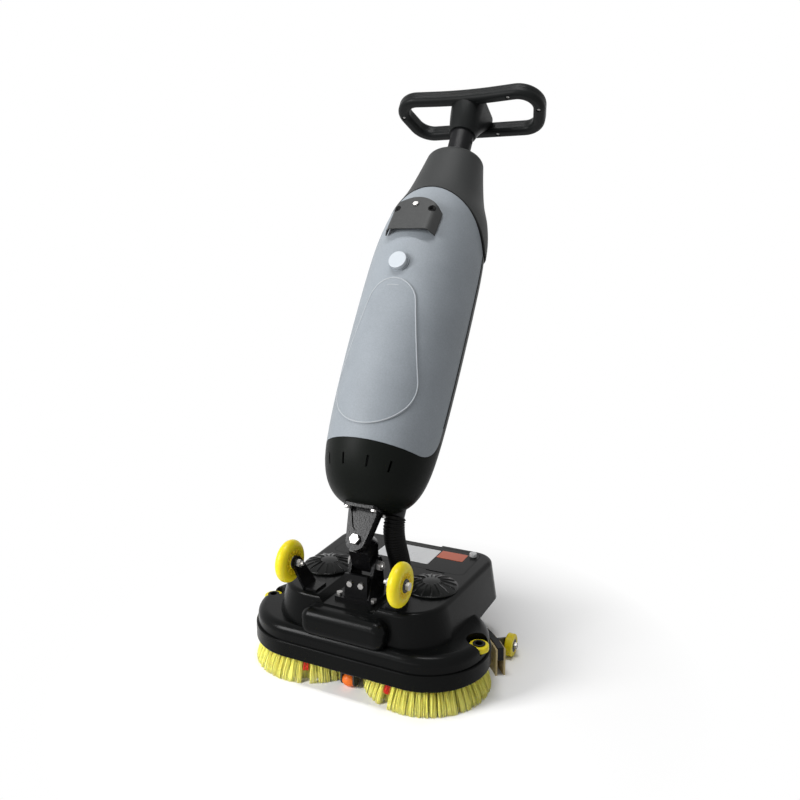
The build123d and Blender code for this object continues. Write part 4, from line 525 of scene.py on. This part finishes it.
# Plates on the battery lid, left bare
plates = {"lidPlateWhite": {"x": (-0.058, 0.063), "y": (0.127, 0.200), "colour": (0.72, 0.73, 0.74)},
          "lidPlateOrange": {"x": (0.065, 0.122), "y": (0.167, 0.203), "colour": (0.50, 0.075, 0.016)}}
plate = {"top": 0.166, "corner": 0.0025, "thickness": 0.0005, "edge": 0.0004, "sink": 0.0002,
         "cornerSteps": 9, "film": (0.3, 500.0, 0.0001, 0.4, 0.25, 1.06)}


# a rounded rectangle: one quarter circle at each corner, in rings for the foot, the rim and the eased edge
def makePlate(name, place):
    steps = plate["cornerSteps"]
    columns = 4 * steps
    turn = np.concatenate([np.linspace(0, np.pi / 2, steps) + quarter * np.pi / 2 for quarter in range(4)])
    cornerX = np.repeat([1, -1, -1, 1], steps)
    cornerY = np.repeat([1, 1, -1, -1], steps)
    halfX, halfY = np.diff(place["x"])[0] / 2, np.diff(place["y"])[0] / 2
    rings = []
    for inset, height in ((0.0, -plate["sink"]), (0.0, plate["thickness"] - plate["edge"] / 2),
                          (plate["edge"], plate["thickness"])):
        reach = plate["corner"] - inset
        x = np.mean(place["x"]) + cornerX * (halfX - plate["corner"]) + reach * np.cos(turn)
        y = brushY + np.mean(place["y"]) + cornerY * (halfY - plate["corner"]) + reach * np.sin(turn)
        rings.append(np.stack([x, y, np.full(columns, plate["top"] + height)], axis=1))
    top = list(range((len(rings) - 1) * columns, len(rings) * columns))
    faces = gridFaces(len(rings), columns).tolist() + [top, list(range(columns - 1, -1, -1))]
    piece = meshFrom(name, rings, faces, False)
    coated = mouldedPlastic(name + "Film", place["colour"], *plate["film"])
    return dress(piece, "battery_cover", "deck_black", coated)


for plateName, place in plates.items():
    makePlate(plateName, place)
print("plates done")


# Raised line round the tank's panel, and a plain level mark; both beads are painted paler than the tank as a
# painted highlight along them
line = {"topS": 0.431, "topRadius": 0.052, "lowS": 0.275, "lowRadius": 0.0835, "inset": 0.0012,
        "halfWidth": 0.0015, "height": 0.0010, "sides": 10, "step": 0.003, "topCount": 41, "sideCount": 30,
        "lowCount": 81, "colour": (0.28, 0.30, 0.32), "gloss": (0.4, 1200.0, 0.0003, 0.3, 0.0, 1.06)}
mark = {"s": 0.4665, "halfLength": 0.0125, "halfWidth": 0.0011, "height": 0.0007, "count": 41, "blunt": 12,
        "thinnest": 1e-4}
skinSearch = {"behind": -0.03, "leastArea": 1e-12, "slack": 1e-5}
# painted highlight: the beads' colour is paler than the tank's grey, standing for the light caught along them
lineHighlightPaint = mouldedPlastic("tankLinePaintedHighlight", line["colour"], *line["gloss"])


# how far forward the tank's skin is at points across and along: the nearest triangle over each point
def frontOfTank(x, s):
    mesh = nodes["front_tank"].data
    mesh.calc_loop_triangles()
    corners = np.empty(3 * len(mesh.loop_triangles), np.int32)
    mesh.loop_triangles.foreach_get("vertices", corners)
    offset = pointsOf("front_tank")[corners].reshape(-1, 3, 3)
    flat = np.stack([offset[..., 0], offset @ upAlong], axis=-1)
    depth = offset @ towardsBack
    a, b, c = flat[:, 0], flat[:, 1] - flat[:, 0], flat[:, 2] - flat[:, 0]
    area = b[:, 0] * c[:, 1] - b[:, 1] * c[:, 0]
    keep = (depth.min(axis=1) < skinSearch["behind"]) & (np.abs(area) > skinSearch["leastArea"])
    a, b, c, area, depth = a[keep], b[keep], c[keep], area[keep], depth[keep]
    p = np.stack([x, s], axis=-1)[:, None] - a
    second = (p[..., 0] * c[:, 1] - p[..., 1] * c[:, 0]) / area
    third = (b[:, 0] * p[..., 1] - b[:, 1] * p[..., 0]) / area
    slack = skinSearch["slack"]
    over = (second >= -slack) & (third >= -slack) & (second + third <= 1 + slack)
    reach = depth[:, 0] + second * (depth[:, 1] - depth[:, 0]) + third * (depth[:, 2] - depth[:, 0])
    return np.where(over, reach, np.inf).min(axis=1)


# an oval section carried along a path on the tank: wide in the skin's plane, low over it
def makeBead(name, x, s, sideX, sideS, halfWidth, height, closed):
    innerX, innerS = x - line["step"] * sideX, s - line["step"] * sideS
    inner = onUpright(innerX, frontOfTank(innerX, innerS), innerS)
    middle = onUpright(x, frontOfTank(x, s), s)
    lying = unit(middle - inner)
    run = np.roll(middle, -1, axis=0) - np.roll(middle, 1, axis=0) if closed else np.gradient(middle, axis=0)
    standing = unit(np.cross(lying, run))
    standing *= -np.sign(standing @ towardsBack)[:, None]
    turn = fullTurn(line["sides"])
    section = (np.cos(turn)[None, :, None] * lying[:, None] * np.reshape(halfWidth, (-1, 1, 1))
               + np.sin(turn)[None, :, None] * standing[:, None] * np.reshape(height, (-1, 1, 1)))
    rows = middle[:, None] + section
    faces = gridFaces(len(rows), line["sides"], closed).tolist()
    if closed:
        faces = [face[::-1] for face in faces]
    else:
        total = len(rows) * line["sides"]
        faces += [list(range(line["sides"]))[::-1], list(range(total - line["sides"], total))]
    piece = meshFrom(name, rows, faces)
    return dress(piece, "upright", "tank_grey", lineHighlightPaint)


# a value that holds round the panel's top and round its foot, and changes evenly along the two sides
def roundPanel(top, low):
    part = np.linspace(0, 1, line["sideCount"] + 2)[1:-1]
    return np.concatenate([np.full(line["topCount"], top), top + part * (low - top),
                           np.full(line["lowCount"], low), low + part * (top - low)])


slant = math.asin((line["lowRadius"] - line["topRadius"]) / (line["topS"] - line["lowS"]))
heading = np.concatenate([np.linspace(slant, np.pi - slant, line["topCount"]),
                          np.full(line["sideCount"], np.pi - slant),
                          np.linspace(np.pi - slant, 2 * np.pi + slant, line["lowCount"]),
                          np.full(line["sideCount"], slant)])
centreS = roundPanel(line["topS"], line["lowS"])
radius = roundPanel(line["topRadius"], line["lowRadius"]) - line["inset"]
makeBead("tankPanelLine", radius * np.cos(heading), centreS + radius * np.sin(heading), np.cos(heading),
         np.sin(heading), line["halfWidth"], line["height"], True)
across = np.linspace(-1, 1, mark["count"])
taper = np.sqrt(np.clip(1 - across ** mark["blunt"], mark["thinnest"], 1))
makeBead("tankLevelMark", mark["halfLength"] * across, np.full_like(across, mark["s"]), np.zeros_like(across),
         np.ones_like(across), mark["halfWidth"] * taper, mark["height"] * taper, False)
print("tank line done")


# Top collar: the tanks' own section, carried up from their arch to an eased top that is bored for the tube
collar = {"s": (0.500, 0.590, 0.645, 0.690, 0.735, 0.790, 0.850, 0.878),
          "half": (0.1195, 0.1182, 0.1145, 0.1045, 0.0883, 0.0745, 0.0625, 0.0570),
          "front": (0.1290, 0.1240, 0.1140, 0.0990, 0.0810, 0.0680, 0.0560, 0.0500),
          "back": (0.0830, 0.0810, 0.0780, 0.0740, 0.0690, 0.0630, 0.0570, 0.0540),
          "low": 0.612, "slope": 1.31, "top": 0.855, "ease": 0.015, "bore": 0.0264, "boreDepth": 0.03,
          "wall": 0.003, "columns": 192, "rows": 48, "easeRows": 10, "passes": 40}


# a smooth line through one size of the collar: cubic steps between stations, sloped by their neighbours
def collarSize(size, s):
    at, value = np.array(collar["s"]), np.array(collar[size])
    slope = np.gradient(value, at)
    index = np.clip(np.searchsorted(at, s) - 1, 0, len(at) - 2)
    span = at[index + 1] - at[index]
    t = (s - at[index]) / span
    return (value[index] * (1 + 2 * t) * (1 - t) ** 2 + value[index + 1] * t ** 2 * (3 - 2 * t)
            + span * (slope[index] * t * (1 - t) ** 2 - slope[index + 1] * t ** 2 * (1 - t)))


# one ring for each height: half ellipses to the front and the back, taken in by an inset
def makeCollar(name):
    turn = fullTurn(collar["columns"])[None]
    forward = np.clip(np.sin(turn), 0, 1)
    edge = np.full_like(turn, collar["low"])
    for settling in range(collar["passes"]):   # the arch's height hangs on the section's depth there
        edge = 0.5 * edge + 0.5 * (collar["low"] + collar["slope"] * forward * collarSize("front", edge))
    share = np.linspace(0, 1, collar["rows"])[:, None]
    shoulder = collar["top"] - collar["ease"]
    side = edge + (shoulder - edge) * share
    bend = np.linspace(0, np.pi / 2, collar["easeRows"])[1:, None] + 0 * turn
    inset = np.concatenate([0 * side, collar["ease"] * (1 - np.cos(bend))])
    rise = np.concatenate([side, shoulder + collar["ease"] * np.sin(bend)])
    isFront = np.sin(turn) > 0
    depth = np.where(isFront, collarSize("front", rise), collarSize("back", rise)) - inset
    reach = (collarSize("half", rise) - inset) * np.cos(turn)
    innerDepth = np.where(isFront, collarSize("front", side), collarSize("back", side)) - collar["wall"]
    innerReach = (collarSize("half", side) - collar["wall"]) * np.cos(turn)
    under = collar["top"] - collar["boreDepth"]
    boreX, boreN = collar["bore"] * np.cos(turn), -collar["bore"] * np.sin(turn)
    x = np.concatenate([reach, boreX, boreX, innerReach[::-1]])
    n = np.concatenate([-depth * np.sin(turn), boreN, boreN, -(innerDepth * np.sin(turn))[::-1]])
    s = np.concatenate([rise, 0 * turn + collar["top"], 0 * turn + under, np.minimum(side, under)[::-1]])
    piece = meshFrom(name, onUpright(x, n, s), gridFaces(len(s), collar["columns"], True)[:, ::-1])
    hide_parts("top_collar")
    return dress(piece, "upright", "recovery_black", paint["recovery_black"])


makeCollar("topCollarEased")
print("collar done")


# Painted shade in the seam round the clean water tank: a near-black round bead that stands for the shadow in
# the gap, from one side over its arch to the other
seam = {"archS": 0.6117, "archSlope": 1.31, "archNear": 0.0003, "sideS": 0.210, "sideReach": 0.06,
        "sideNear": 0.0002, "radius": 0.0016, "sink": 0.0004, "count": 320, "sides": 10,
        "colour": (0.0035, 0.0035, 0.0035), "gloss": (0.5, 900.0, 0.0002, 0.08)}


# a round section carried along the tank's own edge: up one side, over the arch and down the other side
def makeSeamShade(name):
    offset = pointsOf("front_tank")
    x, n, s = offset[:, 0], offset @ towardsBack, offset @ upAlong
    onArch = np.abs(s + seam["archSlope"] * n - seam["archS"]) < seam["archNear"]
    onSide = (np.abs(n - n.max()) < seam["sideNear"]) & (np.abs(x) > seam["sideReach"])
    onSide = onSide & (s > seam["sideS"]) & ~onArch
    flat = np.stack([x, n, s], axis=1)
    arch = flat[onArch][np.argsort(x[onArch])]
    sides = [flat[onSide & (way * x > 0)] for way in (-1, 1)]
    rising, falling = (side[np.argsort(side[:, 2])] for side in sides)
    path = np.concatenate([rising, arch, falling[::-1]])
    length = runLength(path)
    even = readOff(np.linspace(0, length[-1], seam["count"]), length, path)
    out = unit(even * [1.0, 1.0, 0.0])
    run = unit(np.gradient(even, axis=0))
    lying = unit(np.cross(run, out))
    standing = np.cross(lying, run)
    turn = fullTurn(seam["sides"])
    section = np.cos(turn)[None, :, None] * lying[:, None] + np.sin(turn)[None, :, None] * standing[:, None]
    rows = (even - seam["sink"] * out)[:, None] + seam["radius"] * section
    total = len(rows) * seam["sides"]
    ends = [list(range(seam["sides"])), list(range(total - 1, total - 1 - seam["sides"], -1))]
    piece = meshFrom(name, onUpright(rows[..., 0], rows[..., 1], rows[..., 2]),
                     gridFaces(len(rows), seam["sides"])[:, ::-1].tolist() + ends)
    # painted shade: the bead's near-black finish stands for the shadow in the gap round the tank
    seamShadePaint = mouldedPlastic("seamPaintedShade", seam["colour"], *seam["gloss"])
    return dress(piece, "upright", "recovery_black", seamShadePaint)


makeSeamShade("tankSeamPaintedShade")
print("seam done")


# Hook bracket: a folded sheet with an arched top, and a dark cup in each of its two holes as painted shade
# for the dark gap seen through them
hook = {"stand": 0.128, "middle": 0.628, "tilt": math.radians(-11.0), "faceHalf": 0.043, "back": 0.021,
        "fold": 0.015, "bend": math.radians(64.5), "low": -0.040, "top": 0.0455, "archHalf": 0.0575,
        "archDrop": 0.033, "sheet": 0.0025, "hole": 0.0070, "holeAlong": 0.0380, "holeUp": 0.0140,
        "columns": 153, "rows": 81, "sides": 40,
        "lip": ((0.0054, -0.0050), (0.0058, 0.0002), (0.0066, 0.0006), (0.0076, 0.0004),
                (0.0079, 0.0001), (0.0069, -0.0002), (0.0066, -0.0062))}   # radius, step out


# a place on the bracket, by the length along its fold, the height up its face and the step out of it
def onHook(along, up, out=0.0):
    tangent = hook["fold"] * math.tan(hook["bend"] / 2)
    flat = hook["faceHalf"] - tangent
    angle = np.clip((np.abs(along) - flat) / hook["fold"], 0, hook["bend"])
    leg = np.clip(np.abs(along) - flat - hook["fold"] * hook["bend"], 0, None)
    reach = np.minimum(np.abs(along), flat) + hook["fold"] * np.sin(angle) + leg * np.cos(angle)
    inward = hook["fold"] * (1 - np.cos(angle)) + leg * np.sin(angle)
    x, y = np.sign(along) * (reach + out * np.sin(angle)), inward - out * np.cos(angle)
    turnN, turnS = math.cos(hook["tilt"]), math.sin(hook["tilt"])
    return x, y * turnN - up * turnS - hook["stand"], y * turnS + up * turnN + hook["middle"]


# the sheet is a grid from its lower edge up to a parabola
# the holes' rims are grid points moved onto circles
def makeHook(name):
    arc = hook["faceHalf"] - hook["fold"] * (math.tan(hook["bend"] / 2) - hook["bend"])
    leg = (hook["back"] - hook["fold"] * (1 - math.cos(hook["bend"]))) / math.sin(hook["bend"])
    along = np.linspace(-arc - leg, arc + leg, hook["columns"])[None] + np.zeros((hook["rows"], 1))
    reach = np.abs(onHook(along, 0.0)[0]) / hook["archHalf"]
    edge = hook["top"] - hook["archDrop"] * reach ** 2
    up = hook["low"] + (edge - hook["low"]) * np.linspace(0, 1, hook["rows"])[:, None]
    faces = gridFaces(hook["rows"], hook["columns"]).reshape(-1, hook["columns"], 4)[:, :-1].reshape(-1, 4)
    flat = np.stack([along.ravel(), up.ravel()], axis=1)
    for way in (-1, 1):
        centre = np.array([way * hook["holeAlong"], hook["holeUp"]])
        inside = np.linalg.norm(flat[faces].mean(axis=1) - centre, axis=1) < hook["hole"]
        rim = np.intersect1d(faces[inside], faces[~inside])
        away = flat[rim] - centre
        flat[rim] = centre + away * hook["hole"] / np.linalg.norm(away, axis=1, keepdims=True)
        faces = faces[~inside]
    used, faces = np.unique(faces, return_inverse=True)
    flat = flat[used]
    spread = onHook(flat[:, 0], flat[:, 1], hook["sheet"] / 2)
    piece = meshFrom(name, onUpright(*spread), faces.reshape(-1, 4))
    wall = piece.modifiers.new("sheet", "SOLIDIFY")
    wall.thickness = hook["sheet"]
    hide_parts("hook_bracket")
    return dress(piece, "upright", "bracket_black", paint["bracket_black"])


# a hole's painted shade is a lip and a blind dark cup, turned about the hole's middle
def makeHoleShades(name):
    turn = fullTurn(hook["sides"])
    radius, out = (np.array(column)[:, None] for column in zip(*hook["lip"]))
    rings, faces = [], []
    for way in (-1, 1):
        start = len(rings) * radius.size * hook["sides"]
        along, up = way * hook["holeAlong"] + radius * np.cos(turn), hook["holeUp"] + radius * np.sin(turn)
        rings.append(onUpright(*onHook(along, up, out + hook["sheet"] / 2)))
        cup = gridFaces(radius.size, hook["sides"])[:, ::-1] + start
        last = start + (radius.size - 1) * hook["sides"]
        faces += cup.tolist() + [list(range(start, start + hook["sides"])),
                                 list(range(last + hook["sides"] - 1, last - 1, -1))]
    piece = meshFrom(name, np.concatenate(rings), faces)
    # painted shade: the cups take the hose's near-black, so the holes read as the dark gap behind them
    return dress(piece, "upright", "hose_black", paint["hose_black"])


makeHook("hookBracketArched")
makeHoleShades("hookHolePaintedShade")
print("hook bracket done")


# Bright heads on the grip's screws, near the mouths of their bores
head = {"radius": 0.0046, "low": 0.9856, "high": 0.9918, "crown": 0.0012, "cell": 0.02, "slot": 0.0011,
        "crossReach": 0.62, "crossDepth": 0.0012, "rings": 14, "sides": 40}


# a dome with a cross cut into it, on a short skirt: a parabola of the radius, less the cross near two axes
def makeScrewHeads(name):
    offset = pointsOf("handle_screws")
    flat = np.stack([offset[:, 0], offset @ towardsBack], axis=1)
    cells, member = np.unique(np.round(flat / head["cell"]).astype(int), axis=0, return_inverse=True)
    near = np.abs(cells[:, None] - cells[None]).max(axis=-1) < 2
    first = np.argmax(near, axis=1)[member.ravel()]
    centres = np.array([(flat[first == one].min(axis=0) + flat[first == one].max(axis=0)) / 2
                        for one in np.unique(first)])
    share = np.linspace(0, 1, head["rings"])[1:, None]
    turn = fullTurn(head["sides"])[None]
    x, n = head["radius"] * share * np.cos(turn), head["radius"] * share * np.sin(turn)
    cross = (np.minimum(np.abs(x), np.abs(n)) < head["slot"] / 2) & (share < head["crossReach"])
    depth = head["low"] + head["crown"] * share ** 2 + head["crossDepth"] * cross
    depth = np.concatenate([depth, np.full((1, head["sides"]), head["high"])])
    x, n = (np.concatenate([grid, grid[-1:]]) for grid in (x, n))
    rows = [onUpright(x + centreX, n + centreN, depth).reshape(-1, 3) for centreX, centreN in centres]
    starts = (np.arange(len(centres)) * len(rows[0]))[:, None]
    faces = (gridFaces(len(depth), head["sides"]) + starts[..., None]).reshape(-1, 4).tolist()
    middles = starts + np.arange(head["sides"])[::-1]
    backs = starts + depth.size - head["sides"] + np.arange(head["sides"])
    piece = meshFrom(name, np.concatenate(rows), faces + middles.tolist() + backs.tolist())
    print("screw heads:", len(centres))
    return dress(piece, "handle", "bolt_steel", paint["bolt_steel"])


makeScrewHeads("gripScrewHeads")


# Ribbed webs in the faces of the transport wheels
web = {"inner": 0.0132, "outer": 0.0232, "low": 0.0081, "high": 0.0100, "rib": 0.0017, "ribs": 12,
       "ribGain": 1.9, "ribGap": 0.7, "skin": 0.0002, "sink": 0.0008, "behind": 0.0045, "rows": 12,
       "columns": 288}


# a ring that follows the slope of the wheel's face, with a rounded rib at each twelfth of a turn
def makeWeb(name, wheelNode, body, way):
    low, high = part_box(wheelNode)
    centre = np.add(low, high) / 2
    share = np.linspace(0, 1, web["rows"])[:, None]
    turn = fullTurn(web["columns"])[None]
    ridge = np.clip(web["ribGain"] * np.cos(web["ribs"] * turn) - web["ribGap"], 0, 1)
    ridge = ridge * np.sqrt(np.sin(np.pi * share))
    height = web["low"] + share * (web["high"] - web["low"]) + web["skin"] + web["rib"] * ridge
    height = height - web["sink"] * ((share == 0) | (share == 1))
    reach = web["inner"] + share * (web["outer"] - web["inner"])
    height = np.concatenate([height, np.full((2, web["columns"]), web["behind"])])
    reach = np.concatenate([reach, reach[-1:], reach[:1]])
    rows = np.stack([centre[0] + way * height, centre[1] + reach * np.cos(turn),
                     centre[2] + reach * np.sin(turn)], axis=-1)
    faces = gridFaces(len(rows), web["columns"], True)
    piece = meshFrom(name, rows, faces[:, ::-1] if way > 0 else faces)
    return dress(piece, body, "wheel_amber", paint["wheelWeb"])


for sideName in ("left", "right"):
    for wayName, way in (("Outer", 1), ("Inner", -1)):
        webName = f"wheelWeb{sideName.title()}{wayName}"
        makeWeb(webName, f"transport_wheel_{sideName}", f"transport_{sideName}", way)
print("wheel webs done")


# Studio
lamps = {"keyLight": {"place": (-1.85, -2.35, 1.7), "target": (0.0, 0.0, 0.5), "size": (1.0, 1.4),
                      "power": 106.0},
         "topLight": {"place": (0.0, -0.35, 2.7), "target": (0.0, -0.15, 0.2), "size": (1.2, 0.3),
                      "power": 32.0},
         "lowLight": {"place": (-0.25, -2.1, 0.32), "target": (0.0, -0.3, 0.06), "size": (1.2, 0.3),
                      "power": 3.6}}
studio = {"ambient": 0.28, "floorSize": 12.0, "floorWhite": 0.92, "floorCloud": 0.01, "floorMiddle": 0.05,
          "fadeFrom": 0.26, "fadeTo": 0.62}
view = {"place": (0.6607, -1.2198, 0.8126), "down": 8.54, "turn": 26.08, "sensor": 36.0, "lens": 34.69,
        "shiftY": -0.056}
white = (1.0, 1.0, 1.0, 1.0)


def softBox(name, place, target, size, power):
    light = bpy.data.lights.new(name, "AREA")
    light.shape = "RECTANGLE"
    light.size, light.size_y = size
    light.energy = power
    lamp = bpy.data.objects.new(name, light)
    lamp.location = place
    lamp.rotation_euler = (Vector(target) - Vector(place)).to_track_quat("-Z", "Y").to_euler()
    bpy.context.scene.collection.objects.link(lamp)


for lampName, lampSetup in lamps.items():
    softBox(lampName, **lampSetup)

# the world lights softly, and is white where it is seen
worldGraph = Graph(bpy.data.worlds.new("studioWorld"))
bpy.context.scene.world = worldGraph.owner
worldGraph.feed("Background", "Strength", studio["ambient"] + (1 - studio["ambient"]) * worldGraph.seen())
worldGraph.tree.nodes["Background"].inputs["Color"].default_value = white

# the floor keeps the shadow near the machine, and fades to plain white further out
reach = studio["floorSize"]
floor = meshFrom("floor", [(-reach, -reach, 0), (reach, -reach, 0), (reach, reach, 0), (-reach, reach, 0)],
                 [[0, 1, 2, 3]], False)
floorGraph = finish("floorPaint", {"Roughness": 0.8, "Specular IOR Level": 0.1})
floorTone = [studio["floorWhite"]] * 3
shade(floorGraph, colour=floorGraph.mix(floorGraph.noise(3.0), opaque(floorTone),
                                        opaque(floorTone, lift=studio["floorCloud"])))
floorMiddle = (0.0, brushY + studio["floorMiddle"], 0.0)
distance = floorGraph.vector("DISTANCE", floorGraph.place(), floorMiddle, "Value")
fade = floorGraph.ramp(distance, studio["fadeFrom"], studio["fadeTo"]) * floorGraph.seen()
plainWhite = floorGraph.node("ShaderNodeEmission", inputs={"Color": white, "Strength": 1.0})
painted = Field(floorGraph, floorGraph.tree.nodes["Principled BSDF"].outputs[0])
floorGraph.feed("Material Output", "Surface",
                floorGraph.node("ShaderNodeMixShader", inputs={0: fade, 1: painted, 2: plainWhite}))
floor.data.materials.append(floorGraph.owner)

camera = bpy.data.objects.new("camera", bpy.data.cameras.new("camera"))
bpy.context.scene.collection.objects.link(camera)
camera.location = tuple(np.add(view["place"], (0.0, brushY, 0.0)))
camera.rotation_euler = (math.radians(90.0 - view["down"]), 0.0, math.radians(view["turn"]))
camera.data.sensor_width = view["sensor"]
camera.data.lens = view["lens"]
camera.data.shift_y = view["shiftY"]
bpy.context.scene.camera = camera
bpy.context.scene.view_settings.view_transform = "Standard"
print("studio done")
